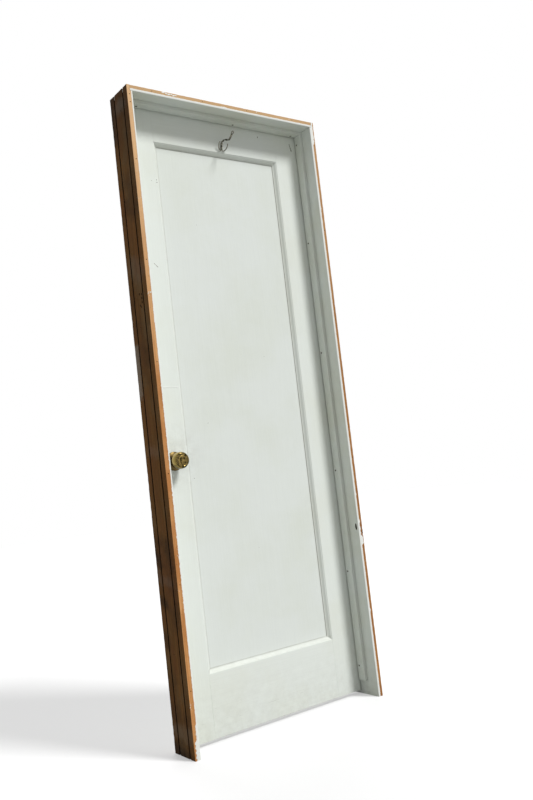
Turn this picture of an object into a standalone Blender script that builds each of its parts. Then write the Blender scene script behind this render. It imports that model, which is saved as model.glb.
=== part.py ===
"""Interior door in its frame: a single-panel wooden door leaf hung on three butt hinges in a
ploughed wooden jamb with nailed-on stops, a turned brass knob set and a wire hat and coat hook.

Metres, +Z up. The origin is the middle of the hinge-side jamb's foot. The leaf lies flush with the
frame's back edge (+Y) and opens towards +Y about the hinge pins; the stops face -Y.
"""
import math

import bmesh
import bpy
from mathutils import Matrix, Vector

# Sizes, in metres
FIT = 0.0003              # between pieces that touch

# Door leaf
LEAF_WIDTH = 0.711
LEAF_HEIGHT = 2.032
LEAF_THICK = 0.035
STILE_FLAT = 0.1018       # flat face of a stile, up to its moulded edge
TOP_RAIL_FLAT = 0.110
BOTTOM_RAIL_FLAT = 0.197
STICK_WIDTH = 0.0125      # moulded edge round the panel
STICK_QUIRK = 0.0012      # small step where the moulding starts
STICK_LIP = 0.0022        # square edge that bears on the panel
PANEL_THICK = 0.009
PANEL_GROOVE = 0.010
LEAF_ROUND = 0.0012       # eased outer edges of the leaf

# Clearances round the leaf
GAP_LATCH = 0.005
GAP_HINGE = 0.005
GAP_HEAD = 0.005
GAP_STOP = 0.005
GAP_FLOOR = 0.012

# Frame
JAMB_THICK = 0.019
JAMB_DEPTH = 0.121
HEAD_RABBET = 0.008
PLOUGH_WIDTH = 0.0065
PLOUGH_DEPTH = 0.0055
PLOUGH_INSET = 0.030      # edge of the jamb to the middle of the groove
STOP_THICK = 0.011
STOP_WIDTH = 0.033
STOP_CUT = 0.050          # side stops end this far above the floor
JAMB_ROUND = 0.0015       # eased edges of the jambs
STOP_ROUND = 0.0012       # eased edges of the stops

# Gouge left in the hinge-side jamb
GOUGE_UP = 0.586
GOUGE_IN = 0.012          # in from the jamb's front edge
GOUGE_LONG = 0.016
GOUGE_WIDE = 0.0035
GOUGE_DEPTH = 0.006

# Butt hinges
HINGE_LENGTH = 0.089
HINGE_TOP_DOWN = 0.178    # top of the leaf to the top hinge
HINGE_BOTTOM_UP = 0.279   # bottom of the leaf to the bottom hinge
HINGE_SETBACK = 0.005     # front face of the leaf to the plate's edge
PLATE_THICK = 0.0022
PIN_RADIUS = 0.0030
PIN_CLEAR = 0.0003
PIN_OUT = 0.007           # pin beyond the leaf's back face
PIN_HEAD = 0.0030
KNUCKLES = 5
KNUCKLE_GAP = 0.0006

# Knob set, latch and strike
BACKSET = 0.0572
KNOB_UP = 0.8675          # bottom of the leaf to the spindle
KNOB_RADIUS = 0.0265
KNOB_OUT = 0.054          # front of the knob from the leaf's face
NECK_RADIUS = 0.0095
NECK_CLEAR = 0.0005
ROSE_RADIUS = 0.032
ROSE_HIGH = 0.0085
SPINDLE = 0.008           # square bar
SPINDLE_CLEAR = 0.0003
SPINDLE_BORE = 0.008      # radius of the bore through the stile
SPINDLE_GRIP = 0.022      # length of bar inside each knob
LATCH_BORE = 0.0115       # radius of the bore in the stile's edge
LATCH_CASE = 0.044        # length of the latch tube
FACE_LONG = 0.057
FACE_WIDE = 0.0254
FACE_THICK = 0.0018
BOLT_LONG = 0.0145
BOLT_WIDE = 0.0125
STRIKE_LONG = 0.057
STRIKE_THICK = 0.0016
STRIKE_SETBACK = 0.0035   # leaf's front face to the strike's edge
STRIKE_LIP = 0.0045       # radius that the lip curls back with, round the jamb's back edge
STRIKE_CURL = 60.0        # degrees of that curl
STRIKE_HOLE_LONG = 0.026
STRIKE_HOLE_WIDE = 0.0145
STRIKE_POCKET = 0.012

# Hat and coat hook
HOOK_WIRE = 0.00165       # radius of the wire
HOOK_SIDE = 0.0155        # to the hinge side of the leaf's middle
HOOK_DOWN = 0.090         # top of the leaf to the hook's screw
HOOK_SCREW = 0.020        # length of the screw in the wood
HOOK_TILT = 8.0           # degrees that it hangs askew
HOOK_TWISTS = 2.5         # turns of the two strands round each other

# Places that follow
BACK = JAMB_DEPTH / 2
FRONT = -JAMB_DEPTH / 2
LEAF_BACK = BACK
LEAF_FRONT = BACK - LEAF_THICK
HINGE_FACE = -JAMB_THICK / 2                  # inner face of the hinge-side jamb
LEAF_RIGHT = HINGE_FACE - GAP_HINGE
LEAF_LEFT = LEAF_RIGHT - LEAF_WIDTH
LATCH_FACE = LEAF_LEFT - GAP_LATCH            # inner face of the latch-side jamb
LATCH_OUTER = LATCH_FACE - JAMB_THICK
HINGE_OUTER = HINGE_FACE + JAMB_THICK
LEAF_BOTTOM = GAP_FLOOR
LEAF_TOP = LEAF_BOTTOM + LEAF_HEIGHT
HEAD_UNDER = LEAF_TOP + GAP_HEAD
HEAD_TOP = HEAD_UNDER + JAMB_THICK
STOP_BACK = LEAF_FRONT - GAP_STOP
STOP_FRONT = STOP_BACK - STOP_WIDTH
RECESS = (LEAF_THICK - PANEL_THICK) / 2       # leaf's face to the panel
PIN_X = (HINGE_FACE + LEAF_RIGHT) / 2
PIN_Y = LEAF_BACK + PIN_OUT
BARREL = PIN_RADIUS + PIN_CLEAR + PLATE_THICK
KNOB_X = LEAF_LEFT + BACKSET
KNOB_Z = LEAF_BOTTOM + KNOB_UP
LEAF_MID = (LEAF_FRONT + LEAF_BACK) / 2

# A clean scene
for old in list(bpy.data.objects):
    bpy.data.objects.remove(old, do_unlink=True)


def linear(hex_colour):
    """sRGB hex to the linear values that a shader takes."""
    parts = [int(hex_colour[i:i + 2], 16) / 255 for i in (0, 2, 4)]
    return [c / 12.92 if c <= 0.04045 else ((c + 0.055) / 1.055) ** 2.4 for c in parts] + [1.0]


def material(name, colour, rough, metal=0.0):
    made = bpy.data.materials.new(name)
    made.use_nodes = True
    shader = made.node_tree.nodes["Principled BSDF"]
    shader.inputs["Base Color"].default_value = linear(colour)
    shader.inputs["Roughness"].default_value = rough
    shader.inputs["Metallic"].default_value = metal
    return made


PAINT = {
    "leaf": material("white_door_paint", "E4E6DF", 0.42),
    "panel": material("white_panel_paint", "E0E3DC", 0.45),
    "stop": material("white_stop_paint", "DDDFD6", 0.48),
    "jamb": material("white_jamb_paint", "DCDDD3", 0.50),
    "bare": material("bare_jamb_wood", "9A7650", 0.75),
    "brass": material("aged_brass", "B58A3C", 0.28, 1.0),
    "steel": material("painted_hinge_steel", "C9C7BC", 0.45, 0.6),
    "wire": material("dull_brass_wire", "8C7443", 0.40, 1.0),
    "zinc": material("latch_steel", "A9A7A0", 0.35, 1.0),
}


# Building blocks
def block(x0, x1, y0, y1, z0, z1):
    bm = bmesh.new()
    bmesh.ops.create_cube(bm, size=1.0)
    size = Matrix.Diagonal((x1 - x0, y1 - y0, z1 - z0, 1.0))
    bmesh.ops.transform(bm, matrix=size, verts=bm.verts)
    bmesh.ops.translate(bm, vec=((x0 + x1) / 2, (y0 + y1) / 2, (z0 + z1) / 2), verts=bm.verts)
    return bm


def prism(outline, axis, low, high):
    """Extrude a flat outline, given as points of the two other axes in order, along an axis."""
    order = {"X": (1, 2, 0), "Y": (0, 2, 1), "Z": (0, 1, 2)}[axis]
    bm = bmesh.new()
    ring = []
    for a, b in outline:
        point = [0.0, 0.0, 0.0]
        point[order[0]], point[order[1]], point[order[2]] = a, b, low
        ring.append(bm.verts.new(point))
    face = bm.faces.new(ring)
    step = [0.0, 0.0, 0.0]
    step[order[2]] = high - low
    out = bmesh.ops.extrude_face_region(bm, geom=[face])
    moved = [g for g in out["geom"] if isinstance(g, bmesh.types.BMVert)]
    bmesh.ops.translate(bm, vec=step, verts=moved)
    bmesh.ops.recalc_face_normals(bm, faces=bm.faces)
    return bm


def turned(profile, centre, direction, steps=32):
    """Spin a profile of (radius, distance) points about the line through centre."""
    bm = bmesh.new()
    verts = [bm.verts.new((radius, 0.0, along)) for radius, along in profile]
    edges = [bm.edges.new(pair) for pair in zip(verts, verts[1:])]
    if profile[0][0] > 0 and profile[-1][0] > 0:
        edges.append(bm.edges.new((verts[-1], verts[0])))
    bmesh.ops.spin(bm, geom=verts + edges, axis=(0, 0, 1), cent=(0, 0, 0), steps=steps,
                   angle=2 * math.pi, use_duplicate=False)
    bmesh.ops.remove_doubles(bm, verts=bm.verts, dist=1e-6)
    bmesh.ops.dissolve_degenerate(bm, dist=1e-6, edges=bm.edges)
    turn = Vector((0, 0, 1)).rotation_difference(Vector(direction)).to_matrix().to_4x4()
    bmesh.ops.transform(bm, matrix=Matrix.Translation(centre) @ turn, verts=bm.verts)
    bmesh.ops.recalc_face_normals(bm, faces=bm.faces)
    return bm


def combine(first, second, operation):
    """Boolean of two bodies, as a new one."""
    pair = []
    for bm in (first, second):
        mesh = bpy.data.meshes.new("work")
        bm.to_mesh(mesh)
        bm.free()
        obj = bpy.data.objects.new("work", mesh)
        bpy.context.collection.objects.link(obj)
        pair.append(obj)
    cut = pair[0].modifiers.new("cut", "BOOLEAN")
    cut.operation = operation
    cut.solver = "EXACT"
    cut.object = pair[1]
    bpy.context.view_layer.update()
    view = pair[0].evaluated_get(bpy.context.evaluated_depsgraph_get())
    bm = bmesh.new()
    bm.from_mesh(view.to_mesh())
    view.to_mesh_clear()
    for obj in pair:
        mesh = obj.data
        bpy.data.objects.remove(obj)
        bpy.data.meshes.remove(mesh)
    bmesh.ops.remove_doubles(bm, verts=bm.verts, dist=1e-6)
    return bm


def less(body, *cutters):
    for cutter in cutters:
        body = combine(body, cutter, "DIFFERENCE")
    return body


def piece(name, bm, coat, anchor=(0.0, 0.0, 0.0), parent=None, smooth=False):
    """Turn a body built in world places into a named object with its origin at the anchor."""
    bmesh.ops.translate(bm, vec=-Vector(anchor), verts=bm.verts)
    mesh = bpy.data.meshes.new(name)
    bm.to_mesh(mesh)
    bm.free()
    mesh.materials.append(PAINT[coat])
    if smooth:
        mesh.shade_smooth()
        mesh.set_sharp_from_angle(angle=math.radians(35))
    obj = bpy.data.objects.new(name, mesh)
    bpy.context.collection.objects.link(obj)
    obj.location = Vector(anchor)
    if parent is not None:
        obj.parent = parent
        obj.location = Vector(anchor) - parent_place(parent)
    return obj


def parent_place(empty):
    place = Vector(empty.location)
    while empty.parent is not None:
        empty = empty.parent
        place += empty.location
    return place


def axis_empty(name, place, parent=None):
    empty = bpy.data.objects.new(name, None)
    empty.empty_display_size = 0.05
    bpy.context.collection.objects.link(empty)
    empty.parent = parent
    empty.location = Vector(place) - (parent_place(parent) if parent else Vector((0, 0, 0)))
    return empty


# Joint axes
leaf_axis = axis_empty("leaf_axis", (PIN_X, PIN_Y, 0.0))
knob_axis = axis_empty("knob_axis", (KNOB_X, LEAF_MID, KNOB_Z), leaf_axis)


def eased(radius, steps=3):
    """Worn corner of a board at (0, 0): from its edge round to its face."""
    turns = [math.pi / 2 * i / steps for i in range(steps + 1)]
    return [(radius - radius * math.sin(a), radius - radius * math.cos(a)) for a in reversed(turns)]


# Moulded members of the leaf
def moulding():
    """Half of the moulded edge: width into the opening, depth from the leaf's face."""
    start = STICK_QUIRK
    end = RECESS - STICK_LIP
    steps = 8
    points = [(0.0, 0.0)]
    for i in range(steps + 1):
        t = i / steps
        wave = t - math.sin(2 * math.pi * t) / (2 * math.pi) * 0.85
        points.append((STICK_WIDTH * t, start + (end - start) * wave))
    points.append((STICK_WIDTH, RECESS - FIT))
    return points


def member_outline(flat):
    """Section of a stile or rail: distance from its outer edge, depth from the leaf's front."""
    edge = [(flat + u, v) for u, v in moulding()]
    floor = flat + STICK_WIDTH - PANEL_GROOVE
    front = eased(LEAF_ROUND) + edge + [(floor, RECESS - FIT)]
    back = [(u, LEAF_THICK - v) for u, v in reversed(front)]
    return front + back


def cope_outline():
    """End of a rail: it covers a stile's moulding and its stub tenon fills the panel groove."""
    edge = [(u + FIT, max(v - FIT, 0.0)) for u, v in moulding()[1:-1]]
    mouth = (STICK_WIDTH + FIT, RECESS)
    tenon = (STICK_WIDTH - PANEL_GROOVE + FIT, RECESS)
    front = [(FIT, 0.0)] + edge + [mouth, tenon]
    back = [(u, LEAF_THICK - v) for u, v in reversed(front)]
    return front + back


def stile(side):
    """Stile as a prism; side is +1 on the hinge side and -1 on the latch side."""
    outer = LEAF_RIGHT if side > 0 else LEAF_LEFT
    outline = [(outer - side * u, LEAF_FRONT + v) for u, v in member_outline(STILE_FLAT)]
    return prism(outline, "Z", LEAF_BOTTOM, LEAF_TOP)


def rail(top, flat):
    outer = LEAF_TOP if top else LEAF_BOTTOM
    down = -1 if top else 1
    section = [(LEAF_FRONT + v, outer + down * u) for u, v in member_outline(flat)]
    body = prism(section, "X", LEAF_LEFT, LEAF_RIGHT)
    left = [(LEAF_LEFT + STILE_FLAT + u, LEAF_FRONT + v) for u, v in cope_outline()]
    right = [(LEAF_RIGHT - STILE_FLAT - u, LEAF_FRONT + v) for u, v in reversed(cope_outline())]
    span = prism(left + right, "Z", LEAF_BOTTOM - JAMB_THICK, LEAF_TOP + JAMB_THICK)
    return combine(body, span, "INTERSECT")


# Hinges, laid out by height
def hinge_heights():
    """Bottom of each hinge."""
    top = LEAF_TOP - HINGE_TOP_DOWN - HINGE_LENGTH
    bottom = LEAF_BOTTOM + HINGE_BOTTOM_UP
    return {"top": top, "middle": (top + bottom) / 2, "bottom": bottom}


def plate_reach():
    return LEAF_FRONT + HINGE_SETBACK


def hinge_plate(side, base):
    """Plate with its rolled knuckles: side +1 is the jamb's, -1 the leaf's."""
    near = abs(HINGE_FACE - PIN_X)
    a, b = sorted((PIN_X + side * near, PIN_X + side * (near + PLATE_THICK)))
    top = base + HINGE_LENGTH
    body = block(a, b, plate_reach(), PIN_Y, base, top)
    barrel = turned([(0, 0), (BARREL, 0), (BARREL, HINGE_LENGTH), (0, HINGE_LENGTH)],
                    (PIN_X, PIN_Y, base), (0, 0, 1), 20)
    body = combine(body, barrel, "UNION")
    pitch = HINGE_LENGTH / KNUCKLES
    own = 0 if side > 0 else 1
    reach = BARREL + PIN_OUT
    edge = LEAF_BACK + FIT
    for i in range(KNUCKLES):
        if i % 2 == own:
            continue
        low = base + i * pitch - KNUCKLE_GAP / 2
        high = low + pitch + KNUCKLE_GAP
        low = low - reach if i == 0 else low
        high = high + reach if i == KNUCKLES - 1 else high
        body = less(body, block(PIN_X - reach, PIN_X + reach, edge, PIN_Y + reach, low, high))
    bore = turned([(0, 0), (PIN_RADIUS + PIN_CLEAR, 0), (PIN_RADIUS + PIN_CLEAR, 2 * HINGE_LENGTH),
                   (0, 2 * HINGE_LENGTH)], (PIN_X, PIN_Y, base - HINGE_LENGTH / 2), (0, 0, 1), 20)
    return less(body, bore)


def hinge_pin(base):
    cap = BARREL * 0.92
    low, high = -FIT, HINGE_LENGTH + FIT
    profile = [(0, low - PIN_HEAD), (cap * 0.55, low - PIN_HEAD), (cap, low - PIN_HEAD * 0.55), (cap, low),
               (PIN_RADIUS, low), (PIN_RADIUS, high), (cap, high), (cap, high + PIN_HEAD * 0.55),
               (cap * 0.55, high + PIN_HEAD), (0, high + PIN_HEAD)]
    return turned(profile, (PIN_X, PIN_Y, base), (0, 0, 1), 20)


def hinge_gain(side, base):
    """Cutter for the shallow seat that a plate lies in."""
    face = HINGE_FACE if side > 0 else LEAF_RIGHT
    deep = face + side * (PLATE_THICK + FIT)
    a, b = sorted((face - side * PLATE_THICK, deep))
    return block(a, b, plate_reach() - FIT, LEAF_BACK + PIN_OUT, base - FIT, base + HINGE_LENGTH + FIT)


# Frame
def ploughed_outline(depth):
    """Section of a jamb board: distance from its inner face, place across its depth."""
    round_front = [(u, FRONT + v) for u, v in reversed(eased(JAMB_ROUND))]
    round_back = [(u, -v) for u, v in reversed(round_front)]
    back = []
    for middle in (BACK - PLOUGH_INSET, FRONT + PLOUGH_INSET):
        high, low = middle + PLOUGH_WIDTH / 2, middle - PLOUGH_WIDTH / 2
        back += [(depth, high), (depth - PLOUGH_DEPTH, high), (depth - PLOUGH_DEPTH, low), (depth, low)]
    return [(depth, FRONT)] + round_front + round_back + [(depth, BACK)] + back


def jamb(outer, inner, gains):
    """Side jamb: a section with two ploughed grooves in its back, rabbeted for the head."""
    side = 1 if outer > inner else -1
    body = prism([(inner + side * u, v) for u, v in ploughed_outline(JAMB_THICK)], "Z", 0.0, HEAD_TOP)
    a, b = sorted((inner + side * HEAD_RABBET, inner - side * HEAD_RABBET))
    rabbet = block(a, b, FRONT - JAMB_THICK, BACK + JAMB_THICK, HEAD_UNDER - FIT, HEAD_TOP + JAMB_THICK)
    return less(body, rabbet, *gains)


def bare_back(board, inward):
    """Leave a jamb board's wood bare except on the face that looks into the doorway."""
    board.data.materials.append(PAINT["bare"])
    for face in board.data.polygons:
        face.material_index = 0 if face.normal.dot(inward) > 0.5 else 1


latch_jamb = jamb(LATCH_OUTER, LATCH_FACE, [
    block(LATCH_FACE - STRIKE_THICK - FIT, LATCH_FACE + STRIKE_THICK,
          LEAF_FRONT + STRIKE_SETBACK - FIT, BACK + JAMB_THICK,
          KNOB_Z - STRIKE_LONG / 2 - FIT, KNOB_Z + STRIKE_LONG / 2 + FIT),
    block(LATCH_FACE - STRIKE_POCKET, LATCH_FACE + STRIKE_POCKET,
          LEAF_MID - STRIKE_HOLE_WIDE / 2, LEAF_MID + STRIKE_HOLE_WIDE / 2,
          KNOB_Z - STRIKE_HOLE_LONG / 2, KNOB_Z + STRIKE_HOLE_LONG / 2),
])
bare_back(piece("jamb_latch_side", latch_jamb, "jamb", (LATCH_FACE, 0.0, 0.0)), Vector((1, 0, 0)))
gouge = block(HINGE_FACE - GOUGE_DEPTH, HINGE_FACE + GOUGE_DEPTH,
              FRONT + GOUGE_IN - GOUGE_WIDE / 2, FRONT + GOUGE_IN + GOUGE_WIDE / 2,
              GOUGE_UP - GOUGE_LONG / 2, GOUGE_UP + GOUGE_LONG / 2)
hinge_jamb = jamb(HINGE_OUTER, HINGE_FACE,
                  [hinge_gain(1, base) for base in hinge_heights().values()] + [gouge])
bare_back(piece("jamb_hinge_side", hinge_jamb, "jamb", (0.0, 0.0, 0.0)), Vector((-1, 0, 0)))

head_left = LATCH_FACE - HEAD_RABBET + FIT
head_right = HINGE_FACE + HEAD_RABBET - FIT
head = prism([(v, HEAD_UNDER + u) for u, v in ploughed_outline(JAMB_THICK)], "X", head_left, head_right)
head_spot = ((head_left + head_right) / 2, 0.0, HEAD_UNDER)
bare_back(piece("head_jamb", head, "jamb", head_spot), Vector((0, 0, -1)))


def stop_outline():
    """Section of a stop: distance from the face it is nailed to, place across its width."""
    near = [(STOP_THICK - u, STOP_FRONT + v) for u, v in eased(STOP_ROUND)]
    far = [(u, STOP_BACK + STOP_FRONT - v) for u, v in reversed(near)]
    return [(0.0, STOP_FRONT)] + list(reversed(near)) + list(reversed(far)) + [(0.0, STOP_BACK)]


def side_stop(face, side):
    outline = [(face + side * (FIT + u), v) for u, v in stop_outline()]
    return prism(outline, "Z", STOP_CUT, side_stop_top)


side_stop_top = HEAD_UNDER - STOP_THICK - 2 * FIT
piece("stop_latch_side", side_stop(LATCH_FACE, 1), "stop", (LATCH_FACE, STOP_BACK, STOP_CUT))
piece("stop_hinge_side", side_stop(HINGE_FACE, -1), "stop", (HINGE_FACE, STOP_BACK, STOP_CUT))
head_stop = prism([(v, HEAD_UNDER - FIT - u) for u, v in stop_outline()],
                  "X", LATCH_FACE + FIT, HINGE_FACE - FIT)
piece("stop_head", head_stop, "stop", (LATCH_FACE, STOP_BACK, HEAD_UNDER))

# Leaf
latch_deep = LATCH_CASE + 2 * FACE_THICK
latch_stile = less(
    stile(-1),
    turned([(0, 0), (SPINDLE_BORE, 0), (SPINDLE_BORE, 2 * LEAF_THICK), (0, 2 * LEAF_THICK)],
           (KNOB_X, LEAF_MID - LEAF_THICK, KNOB_Z), (0, 1, 0), 24),
    turned([(0, 0), (LATCH_BORE, 0), (LATCH_BORE, latch_deep), (0, latch_deep)],
           (LEAF_LEFT - FACE_THICK, LEAF_MID, KNOB_Z), (1, 0, 0), 24),
    block(LEAF_LEFT - FACE_THICK, LEAF_LEFT + FACE_THICK + FIT,
          LEAF_MID - FACE_WIDE / 2 - FIT, LEAF_MID + FACE_WIDE / 2 + FIT,
          KNOB_Z - FACE_LONG / 2 - FIT, KNOB_Z + FACE_LONG / 2 + FIT))
piece("stile_latch_side", latch_stile, "leaf", (LEAF_LEFT, LEAF_FRONT, LEAF_BOTTOM), leaf_axis)
hinge_stile = less(stile(1), *[hinge_gain(-1, base) for base in hinge_heights().values()])
piece("stile_hinge_side", hinge_stile, "leaf", (LEAF_RIGHT, LEAF_FRONT, LEAF_BOTTOM), leaf_axis)

hook_x = (LEAF_LEFT + LEAF_RIGHT) / 2 + HOOK_SIDE
hook_z = LEAF_TOP - HOOK_DOWN
screw_bore = turned([(0, 0), (HOOK_WIRE + FIT, 0), (HOOK_WIRE + FIT, 2 * HOOK_SCREW + 2 * FIT),
                     (0, 2 * HOOK_SCREW + 2 * FIT)],
                    (hook_x, LEAF_FRONT - HOOK_SCREW, hook_z), (0, 1, 0), 12)
top_rail = less(rail(True, TOP_RAIL_FLAT), screw_bore)
rail_x = LEAF_LEFT + STILE_FLAT
piece("rail_top", top_rail, "leaf", (rail_x, LEAF_FRONT, LEAF_TOP), leaf_axis)
piece("rail_bottom", rail(False, BOTTOM_RAIL_FLAT), "leaf", (rail_x, LEAF_FRONT, LEAF_BOTTOM), leaf_axis)

inset = STICK_WIDTH - PANEL_GROOVE + FIT
panel = block(LEAF_LEFT + STILE_FLAT + inset, LEAF_RIGHT - STILE_FLAT - inset,
              LEAF_FRONT + RECESS, LEAF_BACK - RECESS,
              LEAF_BOTTOM + BOTTOM_RAIL_FLAT + inset, LEAF_TOP - TOP_RAIL_FLAT - inset)
piece("panel", panel, "panel", (LEAF_LEFT + STILE_FLAT, LEAF_FRONT + RECESS, LEAF_BOTTOM), leaf_axis)

# Hinges
for where, base in hinge_heights().items():
    spot = (PIN_X, PIN_Y, base)
    piece(f"hinge_{where}_jamb_plate", hinge_plate(1, base), "steel", spot, None, True)
    piece(f"hinge_{where}_pin", hinge_pin(base), "steel", spot, None, True)
    piece(f"hinge_{where}_leaf_plate", hinge_plate(-1, base), "steel", spot, leaf_axis, True)

# Latch and strike
face = block(LEAF_LEFT, LEAF_LEFT + FACE_THICK, LEAF_MID - FACE_WIDE / 2, LEAF_MID + FACE_WIDE / 2,
             KNOB_Z - FACE_LONG / 2, KNOB_Z + FACE_LONG / 2)
face = less(face, block(LEAF_LEFT - FACE_THICK, LEAF_LEFT + 2 * FACE_THICK,
                        LEAF_MID - BOLT_WIDE / 2 - FIT, LEAF_MID + BOLT_WIDE / 2 + FIT,
                        KNOB_Z - BOLT_LONG / 2 - FIT, KNOB_Z + BOLT_LONG / 2 + FIT))
face_spot = (LEAF_LEFT, LEAF_MID, KNOB_Z)
piece("latch_faceplate", face, "brass", face_spot, leaf_axis)

case_start = LEAF_LEFT + FACE_THICK + FIT
case_radius = LATCH_BORE - FIT
case = turned([(0, 0), (case_radius, 0), (case_radius, LATCH_CASE - FIT), (0, LATCH_CASE - FIT)],
              (case_start, LEAF_MID, KNOB_Z), (1, 0, 0), 24)
bolt_seat = block(LEAF_LEFT - FACE_THICK, LEAF_LEFT + LATCH_CASE / 2,
                  LEAF_MID - BOLT_WIDE / 2 - FIT, LEAF_MID + BOLT_WIDE / 2 + FIT,
                  KNOB_Z - BOLT_LONG / 2 - FIT, KNOB_Z + BOLT_LONG / 2 + FIT)
piece("latch_case", less(case, bolt_seat), "zinc", face_spot, leaf_axis, True)
bolt_tail = LEAF_LEFT + LATCH_CASE / 2 - FIT
bolt = prism([(LEAF_LEFT, LEAF_MID - BOLT_WIDE / 2), (bolt_tail, LEAF_MID - BOLT_WIDE / 2),
              (bolt_tail, LEAF_MID + BOLT_WIDE / 2), (LEAF_LEFT + BOLT_WIDE * 0.7, LEAF_MID + BOLT_WIDE / 2)],
             "Z", KNOB_Z - BOLT_LONG / 2, KNOB_Z + BOLT_LONG / 2)
piece("latch_bolt", bolt, "zinc", face_spot, leaf_axis)

# The strike's lip curls back round the jamb's edge, where the bolt slides on to it
lip_start = BACK - FIT
strike_start = LEAF_FRONT + STRIKE_SETBACK
curl = [math.radians(STRIKE_CURL) * i / 6 for i in range(1, 7)]


def lip_arc(radius, turns):
    return [(LATCH_FACE - STRIKE_LIP + radius * math.cos(a), lip_start + radius * math.sin(a)) for a in turns]


strike = [(LATCH_FACE, strike_start), (LATCH_FACE, lip_start)] + lip_arc(STRIKE_LIP, curl)
strike += lip_arc(STRIKE_LIP - STRIKE_THICK, reversed(curl))
strike += [(LATCH_FACE - STRIKE_THICK, lip_start), (LATCH_FACE - STRIKE_THICK, strike_start)]
strike = prism(strike, "Z", KNOB_Z - STRIKE_LONG / 2, KNOB_Z + STRIKE_LONG / 2)
strike = less(strike, block(LATCH_FACE - 4 * STRIKE_THICK, LATCH_FACE + STRIKE_THICK,
                            LEAF_MID - STRIKE_HOLE_WIDE / 2, LEAF_MID + STRIKE_HOLE_WIDE / 2,
                            KNOB_Z - STRIKE_HOLE_LONG / 2, KNOB_Z + STRIKE_HOLE_LONG / 2))
piece("strike_plate", strike, "brass", (LATCH_FACE, LEAF_MID, KNOB_Z))


# Knob set
def rose(front):
    """Domed round plate with a collar that the knob's neck turns in."""
    hole = NECK_RADIUS + NECK_CLEAR
    profile = [(hole, FIT), (ROSE_RADIUS, FIT), (ROSE_RADIUS, ROSE_HIGH * 0.20)]
    steps = 6
    for i in range(steps + 1):
        t = i / steps
        radius = ROSE_RADIUS * 0.97 - (ROSE_RADIUS * 0.97 - hole - 0.004) * t
        rise = ROSE_HIGH * (0.30 + 0.48 * math.sin(t * math.pi / 2))
        profile.append((radius, rise))
    profile += [(hole + 0.003, ROSE_HIGH), (hole, ROSE_HIGH)]
    out = -1 if front else 1
    face_y = LEAF_FRONT if front else LEAF_BACK
    return turned(profile, (KNOB_X, face_y, KNOB_Z), (0, out, 0), 40)


def knob(front):
    """Turned drum knob with a ring sunk in its domed face, carried by its neck and the square bar."""
    belly = KNOB_RADIUS
    profile = [(0.0, 2 * FIT), (NECK_RADIUS, 2 * FIT), (NECK_RADIUS, KNOB_OUT * 0.34),
               (NECK_RADIUS * 1.12, KNOB_OUT * 0.40)]
    flare = [(0.50, 0.43), (0.70, 0.445), (0.85, 0.475), (0.935, 0.515), (0.98, 0.57), (1.0, 0.64),
             (1.0, 0.77), (0.985, 0.84), (0.95, 0.90), (0.89, 0.95), (0.81, 0.98), (0.74, 0.985),
             (0.66, 0.968), (0.58, 0.968), (0.46, 0.985), (0.24, 0.998), (0.0, 1.0)]
    profile += [(belly * r, KNOB_OUT * d) for r, d in flare]
    out = -1 if front else 1
    face_y = LEAF_FRONT if front else LEAF_BACK
    body = turned(profile, (KNOB_X, face_y, KNOB_Z), (0, out, 0), 40)
    half = SPINDLE / 2 + SPINDLE_CLEAR
    y0, y1 = sorted((face_y - out * LEAF_THICK / 4, face_y + out * (SPINDLE_GRIP + FIT)))
    return less(body, block(KNOB_X - half, KNOB_X + half, y0, y1, KNOB_Z - half, KNOB_Z + half))


knob_spot = (KNOB_X, LEAF_MID, KNOB_Z)
piece("rose_front", rose(True), "brass", knob_spot, leaf_axis, True)
piece("rose_back", rose(False), "brass", knob_spot, leaf_axis, True)
piece("knob_front", knob(True), "brass", knob_spot, knob_axis, True)
piece("knob_back", knob(False), "brass", knob_spot, knob_axis, True)
half_bar = SPINDLE / 2
spindle = block(KNOB_X - half_bar, KNOB_X + half_bar, LEAF_FRONT - SPINDLE_GRIP, LEAF_BACK + SPINDLE_GRIP,
                KNOB_Z - half_bar, KNOB_Z + half_bar)
piece("spindle", spindle, "zinc", knob_spot, knob_axis)


# Hat and coat hook
def route(points, per=4):
    """Smooth line through the points of a bent wire."""
    ext = [2 * points[0] - points[1]] + points + [2 * points[-1] - points[-2]]
    line = []
    for a, b, c, d in zip(ext, ext[1:], ext[2:], ext[3:]):
        for i in range(per):
            t = i / per
            line.append(0.5 * (2 * b + (c - a) * t + (2 * a - 5 * b + 4 * c - d) * t ** 2
                               + (3 * b - a - 3 * c + d) * t ** 3))
    line.append(points[-1])
    return line


def wire(line, radius, sides=8):
    """Round wire swept along a line, with closed ends."""
    bm = bmesh.new()
    tangent = (line[1] - line[0]).normalized()
    normal = tangent.orthogonal().normalized()
    rings = []
    for i, point in enumerate(line):
        ahead = line[min(i + 1, len(line) - 1)]
        behind = line[max(i - 1, 0)]
        new = (ahead - behind).normalized()
        normal = tangent.rotation_difference(new) @ normal
        normal = (normal - new * normal.dot(new)).normalized()
        tangent = new
        side = tangent.cross(normal)
        rings.append([bm.verts.new(point + radius * (normal * math.cos(2 * math.pi * k / sides)
                                                    + side * math.sin(2 * math.pi * k / sides)))
                      for k in range(sides)])
    for low, high in zip(rings, rings[1:]):
        for k in range(sides):
            bm.faces.new((low[k], low[(k + 1) % sides], high[(k + 1) % sides], high[k]))
    bm.faces.new(list(reversed(rings[0])))
    bm.faces.new(rings[-1])
    bmesh.ops.recalc_face_normals(bm, faces=bm.faces)
    return bm


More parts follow.
